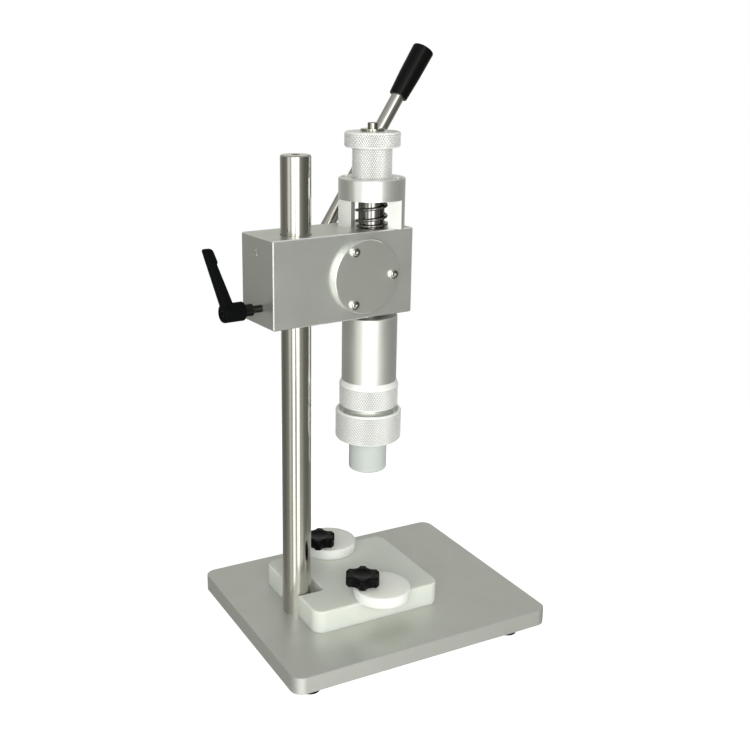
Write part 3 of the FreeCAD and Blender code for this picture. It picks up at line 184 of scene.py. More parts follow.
screens = by_height(banded(lower_stops), banded(level_stops), -0.34, -0.12)
screens = by_height(screens, ceiling_grey, 0.35, 0.80)
screens = by_height(screens, banded(floor_stops), -0.42, -0.55)
screens = by_height(screens, shade_underfoot, -0.62, -0.78)
mirrored = surround.nodes.new("ShaderNodeBackground")
surround.links.new(screens, mirrored.inputs["Color"])
backdrop = surround.nodes.new("ShaderNodeBackground")
backdrop.inputs["Color"].default_value = (1, 1, 1, 1)
ray = surround.nodes.new("ShaderNodeLightPath")
# The screens are seen in the metal at their full brightness, and light matt faces with a share of it
matt_share = 0.6
scattered = surround.nodes.new("ShaderNodeMapRange")
scattered.inputs["To Min"].default_value = 1.0
scattered.inputs["To Max"].default_value = matt_share
surround.links.new(ray.outputs["Is Diffuse Ray"], scattered.inputs["Value"])
surround.links.new(scattered.outputs[0], mirrored.inputs["Strength"])
choice = surround.nodes.new("ShaderNodeMixShader")
surround.links.new(ray.outputs["Is Camera Ray"], choice.inputs[0])
surround.links.new(mirrored.outputs[0], choice.inputs[1])
surround.links.new(backdrop.outputs[0], choice.inputs[2])
surround_output = surround.nodes.new("ShaderNodeOutputWorld")
surround.links.new(choice.outputs[0], surround_output.inputs[0])

# Studio floor: a sheet of matt white paper, lit so that it meets the white backdrop with no edge.
# It darkens only where the machine keeps the light off it.

floor_half = 1.6
fade_start = 0.25
fade_end = 0.9
glow_as_a_light = 0.25
glow_seen = 0.75
floor_mesh = bpy.data.meshes.new("studio_floor")
floor_mesh.from_pydata([(-floor_half, -floor_half, 0), (floor_half, -floor_half, 0),
                        (floor_half, floor_half, 0), (-floor_half, floor_half, 0)], [], [(0, 1, 2, 3)])
studio_floor = bpy.data.objects.new("studio_floor", floor_mesh)
bpy.context.scene.collection.objects.link(studio_floor)
studio_floor.visible_glossy = False
paper = bpy.data.materials.new("floor_paper")
paper.use_nodes = True
paper_tree = paper.node_tree
paper_shader = paper_tree.nodes["Principled BSDF"]
paper_shader.inputs["Base Color"].default_value = (0.90, 0.90, 0.90, 1)
paper_shader.inputs["Roughness"].default_value = 1.0
paper_shader.inputs["Specular IOR Level"].default_value = 0.0
paper_shader.inputs["Emission Color"].default_value = (1, 1, 1, 1)
paper_ray = paper_tree.nodes.new("ShaderNodeLightPath")
paper_glow = paper_tree.nodes.new("ShaderNodeMapRange")
paper_glow.inputs["To Min"].default_value = glow_as_a_light
paper_glow.inputs["To Max"].default_value = glow_seen
paper_tree.links.new(paper_ray.outputs["Is Camera Ray"], paper_glow.inputs["Value"])
paper_tree.links.new(paper_glow.outputs[0], paper_shader.inputs["Emission Strength"])
paper_place = paper_tree.nodes.new("ShaderNodeTexCoord")
paper_distance = paper_tree.nodes.new("ShaderNodeVectorMath")
paper_distance.operation = "LENGTH"
paper_tree.links.new(paper_place.outputs["Object"], paper_distance.inputs[0])
paper_fade = paper_tree.nodes.new("ShaderNodeMapRange")
paper_fade.interpolation_type = "SMOOTHSTEP"
paper_fade.inputs["From Min"].default_value = fade_start
paper_fade.inputs["From Max"].default_value = fade_end
paper_tree.links.new(paper_distance.outputs["Value"], paper_fade.inputs["Value"])
paper_clear = paper_tree.nodes.new("ShaderNodeBsdfTransparent")
paper_mix = paper_tree.nodes.new("ShaderNodeMixShader")
paper_tree.links.new(paper_fade.outputs[0], paper_mix.inputs[0])
paper_tree.links.new(paper_shader.outputs[0], paper_mix.inputs[1])
paper_tree.links.new(paper_clear.outputs[0], paper_mix.inputs[2])
paper_tree.links.new(paper_mix.outputs[0], paper_tree.nodes["Material Output"].inputs["Surface"])
floor_mesh.materials.append(paper)

# Feet: four round buttons of black rubber, moulded with a hollow for the screw that holds each one to
# the plate from below. Only two of them show under its edge.

nodes = frame["nodes"]
moulded_rub = 0.15
handling_patches = 90.0


def moulded(name, colour, roughness, pebble, depth, patches=0.08, shine=0.5):
    """A plastic or rubber with a fine moulded skin: `pebble` bumps to the metre, `depth` metres high.
    Handling leaves patches, lighter and darker, smoother and rougher."""
    finish = bpy.data.materials.new(name)
    finish.use_nodes = True
    tree = finish.node_tree
    shader = tree.nodes["Principled BSDF"]
    shader.inputs["Specular IOR Level"].default_value = shine
    where = tree.nodes.new("ShaderNodeTexCoord")
    skin = tree.nodes.new("ShaderNodeTexNoise")
    skin.inputs["Scale"].default_value = pebble
    skin.inputs["Detail"].default_value = 3.0
    tree.links.new(where.outputs["Object"], skin.inputs["Vector"])
    relief = tree.nodes.new("ShaderNodeBump")
    relief.inputs["Distance"].default_value = depth
    tree.links.new(skin.outputs[0], relief.inputs["Height"])
    tree.links.new(relief.outputs[0], shader.inputs["Normal"])
    handling = tree.nodes.new("ShaderNodeTexNoise")
    handling.inputs["Scale"].default_value = handling_patches
    tree.links.new(where.outputs["Object"], handling.inputs["Vector"])
    tone = tree.nodes.new("ShaderNodeMix")
    tone.data_type = "RGBA"
    tone.inputs["A"].default_value = [part * (1 - patches) for part in colour] + [1]
    tone.inputs["B"].default_value = [part * (1 + patches) for part in colour] + [1]
    tree.links.new(handling.outputs[0], tone.inputs["Factor"])
    tree.links.new(tone.outputs["Result"], shader.inputs["Base Color"])
    gloss = tree.nodes.new("ShaderNodeMapRange")
    gloss.inputs["To Min"].default_value = roughness * (1 - moulded_rub)
    gloss.inputs["To Max"].default_value = roughness * (1 + moulded_rub)
    tree.links.new(handling.outputs[0], gloss.inputs["Value"])
    tree.links.new(gloss.outputs[0], shader.inputs["Roughness"])
    return finish


def coated(node, finish):
    """Give a CAD node its finish."""
    nodes[node].data.materials.clear()
    nodes[node].data.materials.append(finish)


coated("rubber_feet", moulded("foot_rubber", (0.008, 0.008, 0.008), 0.6, 2200, 0.00006, shine=0.25))

# Screws: steel, rolled and zinc-plated where they are ordinary ones, and oiled black where they are set
# screws or a circlip. The drag screw is bright, deep in its hole above the clamp lever.

metal_rub = 0.12
metal_patches = 45.0
# The noise that the patches follow stays between these two nearly everywhere
patch_low = 0.3
patch_high = 0.7


def metal(name, colour, roughness, grain, depth, mottle=0.04, spun_about=None, bare=1.0):
    """A metal: `grain` tool marks to the metre along each axis, `depth` metres deep. A turned piece's
    marks run round the upright line through spun_about instead. A blasted or anodised skin scatters
    light, so less of it mirrors as `bare` metal does."""
    finish = bpy.data.materials.new(name)
    finish.use_nodes = True
    tree = finish.node_tree
    shader = tree.nodes["Principled BSDF"]
    shader.inputs["Metallic"].default_value = bare
    where = tree.nodes.new("ShaderNodeTexCoord")
    course = where.outputs["Object"]
    if spun_about is not None:
        centred = tree.nodes.new("ShaderNodeVectorMath")
        centred.operation = "SUBTRACT"
        centred.inputs[1].default_value = (spun_about[0], spun_about[1], 0)
        tree.links.new(course, centred.inputs[0])
        parts = tree.nodes.new("ShaderNodeSeparateXYZ")
        tree.links.new(centred.outputs[0], parts.inputs[0])
        level = tree.nodes.new("ShaderNodeCombineXYZ")
        tree.links.new(parts.outputs["X"], level.inputs["X"])
        tree.links.new(parts.outputs["Y"], level.inputs["Y"])
        radius = tree.nodes.new("ShaderNodeVectorMath")
        radius.operation = "LENGTH"
        tree.links.new(level.outputs[0], radius.inputs[0])
        rings = tree.nodes.new("ShaderNodeCombineXYZ")
        tree.links.new(radius.outputs["Value"], rings.inputs["X"])
        tree.links.new(parts.outputs["Z"], rings.inputs["Z"])
        course = rings.outputs[0]
    stretch = tree.nodes.new("ShaderNodeMapping")
    stretch.inputs["Scale"].default_value = grain
    tree.links.new(course, stretch.inputs["Vector"])
    marks = tree.nodes.new("ShaderNodeTexNoise")
    marks.inputs["Scale"].default_value = 1.0
    marks.inputs["Detail"].default_value = 2.0
    tree.links.new(stretch.outputs[0], marks.inputs["Vector"])
    relief = tree.nodes.new("ShaderNodeBump")
    relief.inputs["Distance"].default_value = depth
    tree.links.new(marks.outputs[0], relief.inputs["Height"])
    tree.links.new(relief.outputs[0], shader.inputs["Normal"])
    tone = tree.nodes.new("ShaderNodeMix")
    tone.data_type = "RGBA"
    tone.inputs["A"].default_value = [part * (1 - mottle) for part in colour] + [1]
    tone.inputs["B"].default_value = [min(1.0, part * (1 + mottle)) for part in colour] + [1]
    tree.links.new(marks.outputs[0], tone.inputs["Factor"])
    tree.links.new(tone.outputs["Result"], shader.inputs["Base Color"])
    handling = tree.nodes.new("ShaderNodeTexNoise")
    handling.inputs["Scale"].default_value = metal_patches
    handling.inputs["Detail"].default_value = 4.0
    tree.links.new(where.outputs["Object"], handling.inputs["Vector"])
    gloss = tree.nodes.new("ShaderNodeMapRange")
    gloss.inputs["From Min"].default_value = patch_low
    gloss.inputs["From Max"].default_value = patch_high
    gloss.inputs["To Min"].default_value = roughness * (1 - metal_rub)
    gloss.inputs["To Max"].default_value = roughness * (1 + metal_rub)
    tree.links.new(handling.outputs[0], gloss.inputs["Value"])
    tree.links.new(gloss.outputs[0], shader.inputs["Roughness"])
    return finish


plated_steel = metal("screw_steel", (0.62, 0.62, 0.60), 0.20, (1500, 1500, 1500), 0.00001)
black_steel = metal("black_steel", (0.035, 0.034, 0.033), 0.32, (1800, 1800, 1800), 0.00001)
for node in ("foot_screws", "column_screw", "jig_screws", "cage_screws", "rear_flange_screws",
             "shaft_end_washer", "shaft_end_screw"):
    coated(node, plated_steel)
for node in ("bush_circlip", "hub_set_screw", "tube_set_screw", "clamp_screw"):
    coated(node, black_steel)
coated("drag_screw", metal("drag_screw_steel", (0.30, 0.29, 0.25), 0.18, (900, 900, 900), 0.000005))

# Base plate: a slab of aluminium, milled square with round corners and bead-blasted all over, which
# leaves a fine even speckle.

coated("base_plate", metal("blasted_aluminium", (0.61, 0.625, 0.585), 0.42, (1100, 1100, 1100), 0.00006,
                           mottle=0.12, bare=0.75))

# Column: stainless bar, ground between centres, sunk in a shallow seat in the plate and drawn down by
# one screw. The grinding leaves fine rings that a hand can't feel.

column_low, column_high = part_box("column")
column_middle = (column_low + column_high) / 2
coated("column", metal("column_steel", (0.60, 0.585, 0.54), 0.14, (60, 60, 2600), 0.000012, mottle=0.07,
                       spun_about=column_middle))

# Jig plate: a slab of milky white nylon, milled with a notch round the column and its edges rounded
# over, and screwed to the base plate from below. Brass inserts pressed into it take the studs.


def nylon(name, colour, roughness, milkiness, depth_of_light):
    """A milky plastic that light enters a little way."""
    finish = moulded(name, colour, roughness, 700, 0.00003, patches=0.03)
    shader = finish.node_tree.nodes["Principled BSDF"]
    shader.inputs["Subsurface Weight"].default_value = milkiness
    shader.inputs["Subsurface Radius"].default_value = (1.0, 1.0, 0.85)
    shader.inputs["Subsurface Scale"].default_value = depth_of_light
    return finish


coated("jig_plate", nylon("white_nylon", (0.70, 0.73, 0.665), 0.38, 0.6, 0.010))
coated("knob_inserts", metal("brass", (0.78, 0.60, 0.30), 0.3, (900, 900, 900), 0.00001))

# Locator discs: turned from white nylon bar with their edges eased. The hole for the stud is off
# centre, so that a disc reaches further in as it swings.

round_steps = 96


def skinned(name, loops, ring=False):
    """A surface through loops of points. It is capped at both ends, or its last loop meets its first."""
    count = len(loops[0])
    faces = []
    for span in range(len(loops) if ring else len(loops) - 1):
        low = span * count
        high = (span + 1) % len(loops) * count
        for step in range(count):
            after = (step + 1) % count
            faces.append((low + step, low + after, high + after, high + step))
    if not ring:
        faces.append(tuple(reversed(range(count))))
        faces.append(tuple(range((len(loops) - 1) * count, len(loops) * count)))
    mesh = bpy.data.meshes.new(name)
    mesh.from_pydata([point for loop in loops for point in loop], [], faces)
    return mesh


def shown(name, mesh, finish, matrix=Matrix.Identity(4), sharp=35):
    """Put a mesh in the scene with clean normals: flats stay flat and roundings stay smooth."""
    working = bmesh.new()
    working.from_mesh(mesh)
    bmesh.ops.recalc_face_normals(working, faces=working.faces)
    working.to_mesh(mesh)
    working.free()
    mesh.polygons.foreach_set("use_smooth", [True] * len(mesh.polygons))
    mesh.set_sharp_from_angle(angle=math.radians(sharp))
    mesh.materials.append(finish)
    piece = bpy.data.objects.new(name, mesh)
    bpy.context.scene.collection.objects.link(piece)
    piece.matrix_world = matrix
    even = piece.modifiers.new("even_shading", "WEIGHTED_NORMAL")
    even.keep_sharp = True
    return piece


def circle(radius, height, centre=(0, 0), count=round_steps):
    """A level ring of points."""
    return [(centre[0] + radius * math.cos(2 * math.pi * step / count),
             centre[1] + radius * math.sin(2 * math.pi * step / count), height) for step in range(count)]


def eased(corners, steps=4):
    """A profile of (radius, height) points from corners of (radius, height, rounding)."""
    profile = []
    for index, (radius, height, rounding) in enumerate(corners):
        corner = Vector((radius, height))
        if rounding == 0:
            profile.append(tuple(corner))
            continue
        before = (Vector(corners[index - 1][:2]) - corner).normalized()
        after = (Vector(corners[(index + 1) % len(corners)][:2]) - corner).normalized()
        half = before.angle(after) / 2
        reach = rounding / math.tan(half)
        middle = corner + (before + after).normalized() * rounding / math.sin(half)
        start = corner + before * reach - middle
        end = corner + after * reach - middle
        sweep = math.atan2(start.x * end.y - start.y * end.x, start.dot(end))
        for step in range(steps + 1):
            turned_by = sweep * step / steps
            profile.append((middle.x + start.x * math.cos(turned_by) - start.y * math.sin(turned_by),
                            middle.y + start.x * math.sin(turned_by) + start.y * math.cos(turned_by)))
    return profile


disc_nylon = nylon("disc_nylon", (0.92, 0.97, 0.84), 0.42, 0.8, 0.014)
disc_easing = 0.0012
stud_clearance = 0.0001
for side in ("left", "right"):
    low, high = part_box(f"{side}_locator_disc")
    stud_low, stud_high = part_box(f"{side}_knob_stud")
    centre = (low + high) / 2
    hole = (stud_low + stud_high) / 2
    hole_radius = (stud_high.x - stud_low.x) / 2 + stud_clearance
    disc_radius = (high.x - low.x) / 2
    edge = eased([(0, low.z, 0), (disc_radius, low.z, disc_easing), (disc_radius, high.z, disc_easing),
                  (0, high.z, 0)])
    loops = [circle(hole_radius, low.z, hole)]
    loops += [circle(radius, height, centre) for radius, height in edge[1:-1]]
    loops.append(circle(hole_radius, high.z, hole))
    disc = shown(f"{side}_disc", skinned(f"{side}_disc", loops, ring=True), disc_nylon)
    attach(disc, f"{side}_disc")
    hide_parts(f"{side}_locator_disc")

# Star knobs: black plastic moulded on a steel stud, with six lobes, a dished top and softened edges.
# Each one clamps its disc to the jig plate.

knob_plastic = moulded("knob_plastic", (0.003, 0.003, 0.0034), 0.26, 1400, 0.00004, shine=0.07)
knob_lobes = 6
lobe_turn = math.radians(30)
scallop_radius = 0.0065
scallop_depth = 0.0034
knob_hub_radius = 0.007
knob_hub_height = 0.002
knob_edge = 0.0016
dish_radius = 0.0078
dish_depth = 0.0011
# How far out from the middle, as a share of the dish's radius, and how deep
dish_profile = [(1.25, 0), (1.1, 0), (1.0, 0.0003), (0.85, 0.0007), (0.5, dish_depth), (0.1, dish_depth)]
lobe_softness = 0.0007
knob_steps = 144
lower_edge_share = 0.6
lower_edge_steps = 4
upper_edge_steps = 5


def lobed(radius, height, centre, inset=0.0):
    """The knob's outline: a circle with one scallop between each two lobes, their corners softened."""
    outline = []
    gap_middle = radius - scallop_depth + scallop_radius
    gap_radius = scallop_radius + inset
    for step in range(knob_steps):
        angle = 2 * math.pi * step / knob_steps
        off = (angle - lobe_turn) % (2 * math.pi / knob_lobes) - math.pi / knob_lobes
        reach = radius - inset
        inside = gap_radius ** 2 - (gap_middle * math.sin(off)) ** 2
        if inside > 0:
            scooped = gap_middle * math.cos(off) - math.sqrt(inside)
            blend = max(lobe_softness - abs(reach - scooped), 0) / lobe_softness
            reach = min(reach, scooped) - blend ** 2 * lobe_softness / 4
        outline.append((centre.x + reach * math.cos(angle), centre.y + reach * math.sin(angle), height))
    return outline


for side in ("left", "right"):
    low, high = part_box(f"{side}_star_knob")
    stud_low, stud_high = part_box(f"{side}_knob_stud")
    centre = (stud_low + stud_high) / 2
    radius = max(high.x - low.x, high.y - low.y) / 2
    hub_top = low.z + knob_hub_height
    loops = [circle(knob_hub_radius, height, centre, knob_steps) for height in (low.z, hub_top)]
    lower_edge = knob_edge * lower_edge_share
    for step in reversed(range(lower_edge_steps + 1)):
        sweep = math.pi / 2 * step / lower_edge_steps
        loops.append(lobed(radius, hub_top + lower_edge * (1 - math.sin(sweep)), centre,
                           lower_edge * (1 - math.cos(sweep))))
    for step in range(upper_edge_steps + 1):
        sweep = math.pi / 2 * step / upper_edge_steps
        loops.append(lobed(radius, high.z - knob_edge * (1 - math.sin(sweep)), centre,
                           knob_edge * (1 - math.cos(sweep))))
    for reach, depth in dish_profile:
        loops.append(circle(dish_radius * reach, high.z - depth, centre, knob_steps))
    knob = shown(f"{side}_knob", skinned(f"{side}_knob", loops), knob_plastic, sharp=50)
    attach(knob, f"{side}_knob")
    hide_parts(f"{side}_star_knob")
    coated(f"{side}_knob_stud", plated_steel)

# Head block: aluminium bar, milled square, bored for the column and the ram, blasted and then brushed
# lightly. The cutter breaks every edge, which leaves a bright line along it.

joints = {joint["name"]: joint for joint in frame["joints"]}
# The head's cross axis, which the lever turns on, also says how far the head has swivelled
cross_axis = Vector(joints["lever_pull"]["axis"]).normalized()
head_turn = math.atan2(cross_axis.y, cross_axis.x)
square_on = 0.97


def own_normal(tree):
    """The way a face points, in its piece's own frame."""
    facing = tree.nodes.new("ShaderNodeNewGeometry")
    own = tree.nodes.new("ShaderNodeVectorTransform")
    own.vector_type = "NORMAL"
    own.convert_from = "WORLD"
    own.convert_to = "OBJECT"
    tree.links.new(facing.outputs["True Normal"], own.inputs[0])
    return own.outputs[0]


def polished_where(finish, value, limit, colour, roughness):
    """Give the faces where value is under a limit a bright polish."""
    tree = finish.node_tree
    shader = tree.nodes["Principled BSDF"]
    under = tree.nodes.new("ShaderNodeMath")
    under.operation = "LESS_THAN"
    under.inputs[1].default_value = limit
    tree.links.new(value, under.inputs[0])
    for socket, kind, polished in (("Base Color", "RGBA", colour + (1,)), ("Roughness", "FLOAT", roughness)):
        choose = tree.nodes.new("ShaderNodeMix")
        choose.data_type = kind
        choose.inputs["B"].default_value = polished
        tree.links.new(under.outputs[0], choose.inputs["Factor"])
        tree.links.new(shader.inputs[socket].links[0].from_socket, choose.inputs["A"])
        tree.links.new(choose.outputs["Result"], shader.inputs[socket])
    return finish


def bright_bevels(finish, turned_by, colour, roughness):
    """Polish what faces none of the block's six ways: its broken edges and the mouths of its holes."""
    tree = finish.node_tree
    square = tree.nodes.new("ShaderNodeVectorRotate")
    square.rotation_type = "Z_AXIS"
    square.inputs["Angle"].default_value = -turned_by
    tree.links.new(own_normal(tree), square.inputs["Vector"])
    size = tree.nodes.new("ShaderNodeVectorMath")
    size.operation = "ABSOLUTE"
    tree.links.new(square.outputs[0], size.inputs[0])
    parts = tree.nodes.new("ShaderNodeSeparateXYZ")
    tree.links.new(size.outputs[0], parts.inputs[0])
    level = tree.nodes.new("ShaderNodeMath")
    level.operation = "MAXIMUM"
    tree.links.new(parts.outputs["X"], level.inputs[0])
    tree.links.new(parts.outputs["Y"], level.inputs[1])
    most = tree.nodes.new("ShaderNodeMath")
    most.operation = "MAXIMUM"
    tree.links.new(level.outputs[0], most.inputs[0])
    tree.links.new(parts.outputs["Z"], most.inputs[1])
    return polished_where(finish, most.outputs[0], square_on, colour, roughness)


def bright_rim(finish, axis, limit, colour, roughness):
    """Polish a turned piece's wall, which the tool cuts finer than the face."""
    tree = finish.node_tree
    along = tree.nodes.new("ShaderNodeVectorMath")
    along.operation = "DOT_PRODUCT"
    along.inputs[1].default_value = axis
    tree.links.new(own_normal(tree), along.inputs[0])
    size = tree.nodes.new("ShaderNodeMath")
    size.operation = "ABSOLUTE"
    tree.links.new(along.outputs["Value"], size.inputs[0])
    return polished_where(finish, size.outputs[0], limit, colour, roughness)


block_finish = metal("block_aluminium", (0.62, 0.64, 0.60), 0.34, (900, 900, 1300), 0.00003,
                     mottle=0.08, bare=0.8)
coated("head_block", bright_bevels(block_finish, head_turn, (0.95, 0.95, 0.93), 0.15))
bronze = metal("bronze", (0.34, 0.26, 0.17), 0.3, (900, 900, 900), 0.00001)
for node in ("column_bush", "front_shaft_bush", "rear_shaft_bush", "upper_guide_bush", "lower_guide_bush"):
    coated(node, bronze)

# Shaft cover and rear flange: turned aluminium plates that close the pinion shaft's bore on both
# sides, each held by three screws. The wall is cut finer than the face and shines.

cover_finish = metal("cover_aluminium", (0.69, 0.71, 0.65), 0.32, (1500, 1500, 1500), 0.00002, mottle=0.05,
                     bare=0.85)
bright_rim(cover_finish, cross_axis, 0.9, (0.84, 0.85, 0.81), 0.28)
coated("shaft_cover", cover_finish)
coated("rear_flange", cover_finish)

# Cover screws: three button-head socket screws of polished steel, evenly round the cover. Their
# upright wall is as bright as the cover's own.

polished_steel = metal("polished_steel", (0.40, 0.40, 0.35), 0.08, (900, 900, 900), 0.000005)
screw_finish = metal("cover_screw_steel", (0.40, 0.40, 0.36), 0.05, (900, 900, 900), 0.000005)
bright_rim(screw_finish, (0, 0, 1), 0.3, (0.97, 0.98, 0.95), 0.22)


def pointing(way, at):
    """A frame at a point whose Z runs along a direction."""
    return Matrix.Translation(at) @ way.to_track_quat("Z", "Y").to_matrix().to_4x4()


def hexagon(across, height, count=round_steps):
    """A hexagon socket's outline, with its points shared out as a circle's are."""
    outline = []
    for step in range(count):
        angle = 2 * math.pi * step / count
        off = angle % (math.pi / 3) - math.pi / 6
        reach = across / 2 / math.cos(off)
        outline.append((reach * math.cos(angle), reach * math.sin(angle), height))
    return outline


foot_share = 0.5
dome_steps = 8
dome_sweep = math.radians(70)
socket_share = 0.6


def button_head(name, radius, wall, height, socket, finish, matrix):
    """A screw head with an upright wall, a dome and a hexagon socket, standing on the frame's ground."""
    loops = [circle(radius * foot_share, 0), circle(radius, 0)]
    for step in range(dome_steps + 1):
        sweep = dome_sweep * step / dome_steps
        loops.append(circle(radius * math.cos(sweep), wall + (height - wall) * math.sin(sweep)))
    crown = loops[-1][0][2]
    loops.append(hexagon(socket, crown))
    loops.append(hexagon(socket, crown - height * socket_share))
    return shown(name, skinned(name, loops), finish, matrix)


low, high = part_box("shaft_cover")
cover_screws = 3
cover_screw_circle = 0.0253
cover_screw_head = 0.0038
cover_screw_wall = 0.0021
cover_screw_rise = 0.0036
cover_screw_socket = 0.0021
cover_thickness = 0.005
cover_face = (low + high) / 2 - cross_axis * cover_thickness / 2
upright = Vector((0, 0, 1))
level_way = cross_axis.cross(upright)
for index in range(cover_screws):
    angle = 2 * math.pi * index / cover_screws
    spot = cover_face + cover_screw_circle * (level_way * math.cos(angle) + upright * math.sin(angle))
    head_piece = button_head(f"cover_screw_{index + 1}", cover_screw_head, cover_screw_wall,
                             cover_screw_rise, cover_screw_socket, screw_finish,
                             pointing(-cross_axis, spot))
    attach(head_piece, "head")
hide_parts("cover_screws")

# Pinion shaft and lever hub: turned steel. The shaft runs across the head in two bronze bushes, and
# the hub is set on its end by a set screw, a washer and an end screw.

shaft_steel = metal("lever_steel", (0.56, 0.55, 0.52), 0.22, (700, 700, 700), 0.00001)
for node in ("pinion_shaft", "lever_hub"):
    coated(node, shaft_steel)

# Lever bar: stainless bar of 12 mm, ground as the column is, with its ends eased. One end is screwed
# into the hub and the other carries the grip.

lever_pin = Vector(joints["lever_pull"]["pos_m"])
rod_low, rod_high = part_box("lever_rod")
rod_middle = (rod_low + rod_high) / 2
lever_way = rod_middle - lever_pin
lever_way = (lever_way - cross_axis * lever_way.dot(cross_axis)).normalized()
lever_root = lever_pin + cross_axis * (rod_middle - lever_pin).dot(cross_axis)
lever_frame = pointing(lever_way, lever_root)
rod_radius = 0.006
rod_start = 0.0085
rod_end = 0.200
rod_centre = 0.001
rod_foot_ease = 0.0004
rod_end_ease = 0.0006
bar_steel = metal("bar_steel", (0.60, 0.585, 0.54), 0.15, (60, 60, 2400), 0.00001, mottle=0.06,
                  spun_about=(0, 0))
rod_profile = [(rod_centre, rod_start, 0), (rod_radius, rod_start, rod_foot_ease),
               (rod_radius, rod_end, rod_end_ease), (rod_centre, rod_end, 0)]
rod_loops = [circle(radius, height) for radius, height in eased(rod_profile)]
bar = shown("lever_bar", skinned("lever_bar", rod_loops), bar_steel, lever_frame)
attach(bar, "lever")
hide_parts("lever_rod")

# Lever grip: glossy black plastic, moulded hollow and pushed on the bar. It widens towards its domed
# end, and its lower rim is cut square.

grip_hold = 0.0327
grip_start = rod_end - grip_hold
grip_length = 0.0502
grip_top = grip_start + grip_length
grip_bore_depth = 0.02
# The radius, the height along the bar and the rounding of each corner, from the foot to the dome
grip_profile = [
    (rod_radius, grip_start, 0), (0.0085, grip_start, 0.0006), (0.0096, grip_start + 0.0215, 0.05),
    (0.0101, grip_top - 0.0011, 0.0015), (0.0055, grip_top - 0.0002, 0.02), (0.0005, grip_top, 0),
]
grip_plastic = moulded("grip_plastic", (0.003, 0.003, 0.003), 0.28, 900, 0.00002, shine=0.12)
grip_loops = [circle(radius, height) for radius, height in eased(grip_profile, steps=8)]
grip_loops.insert(0, circle(rod_radius, grip_start + grip_bore_depth))
grip = shown("grip", skinned("grip", grip_loops), grip_plastic, lever_frame, sharp=50)
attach(grip, "lever")
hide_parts("lever_grip")

# Guide cage: a ring on two flat-faced legs, turned and milled from one piece of aluminium. Two long
# screws down the legs hold it on the block, and the stroke knob stops on its ring.

ring_low, ring_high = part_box("guide_cage")
ram_axis = (ring_low + ring_high) / 2
coated("guide_cage", metal("satin_aluminium", (0.84, 0.85, 0.82), 0.33, (40, 40, 1800), 0.000012, mottle=0.03,
                           spun_about=ram_axis, bare=0.86))

# Return spring: round steel wire, wound right-handed with its end turns closed, and blued. It stands
# on the upper guide bush, round the ram, and pushes the adjusting sleeve up.

neck_low, neck_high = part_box("adjusting_sleeve")
spring_clearance = 0.0002
spring_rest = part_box("head_block")[1].z + spring_clearance
spring_length = neck_low.z - spring_rest
wire_radius = 0.00125
coil_radius = 0.0125
closed_turns = 0.75
closed_pitch = 0.0026
open_pitch = 0.0089
open_turns = (spring_length - 2 * wire_radius - 2 * closed_turns * closed_pitch) / open_pitch
spring_turns = open_turns + 2 * closed_turns
# The wire passes the camera's left side this far above the block
first_pass_height = 0.0049
first_pass = closed_turns + (first_pass_height - wire_radius - closed_turns * closed_pitch) / open_pitch
left_of_camera = camera_azimuth - math.pi
steps_per_turn = 48
wire_sides = 16
blued_wire = metal("spring_steel", (0.26, 0.255, 0.24), 0.09, (1500, 1500, 1500), 0.000005)


def wound_height(turns):
    """The wire's height above its first point after so many turns."""
    lower = min(turns, closed_turns) * closed_pitch
    middle = min(max(turns - closed_turns, 0), open_turns) * open_pitch
    upper = max(turns - closed_turns - open_turns, 0) * closed_pitch
    return lower + middle + upper


spring_loops = []
spring_steps = int(spring_turns * steps_per_turn)
for step in range(spring_steps + 1):
    turns = spring_turns * step / spring_steps
    angle = left_of_camera + 2 * math.pi * (turns - first_pass)
    out = Vector((math.cos(angle), math.sin(angle), 0))
    middle = Vector((ram_axis.x, ram_axis.y, spring_rest + wire_radius + wound_height(turns)))
    middle += out * coil_radius
    loop = []
    for side in range(wire_sides):
        round_wire = 2 * math.pi * side / wire_sides
        loop.append(middle + wire_radius * (out * math.cos(round_wire) + upright * math.sin(round_wire)))
    spring_loops.append(loop)
spring = shown("spring", skinned("spring", spring_loops), blued_wire)
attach(spring, "ram")
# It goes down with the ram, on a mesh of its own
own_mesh(spring)
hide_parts("return_spring")

# Ram: ground steel bar, hard-chromed and mirror bright, with the rack cut in its rear side and a
# thread on top. It slides in two bronze bushes, one at each end of the block's bore.

# The steel's colour is set dark, as painted shade for the dark inside of the cage round the ram; the bright
# screens still mirror white in it
coated("ram_shaft", metal("ram_steel", (0.30, 0.295, 0.285), 0.07, (40, 40, 900), 0.000004,
                          spun_about=ram_axis))

# Knurled pieces: aluminium, turned and then rolled with a pair of diamond wheels, which leave rows of
# small pyramids between smooth rims.

knurled_aluminium = metal("knurled_aluminium", (0.98, 0.99, 0.96), 0.34, (900, 900, 900), 0.000004,
                          mottle=0.01, bare=0.30)
# The grooves between the pyramids are darkened in colour, down to black at their bottom: partly dirt held in
# them, partly painted shade where they are shut off from the light
groove_dirt_and_shade_tone = 0.0
groove_reach = 0.43
knurl_tree = knurled_aluminium.node_tree
knurl_shader = knurl_tree.nodes["Principled BSDF"]
crest = knurl_tree.nodes.new("ShaderNodeAttribute")
crest.attribute_name = "crest"
clean = knurl_tree.nodes.new("ShaderNodeMapRange")
clean.inputs["From Max"].default_value = groove_reach
clean.inputs["To Min"].default_value = groove_dirt_and_shade_tone
knurl_tree.links.new(crest.outputs["Fac"], clean.inputs["Value"])
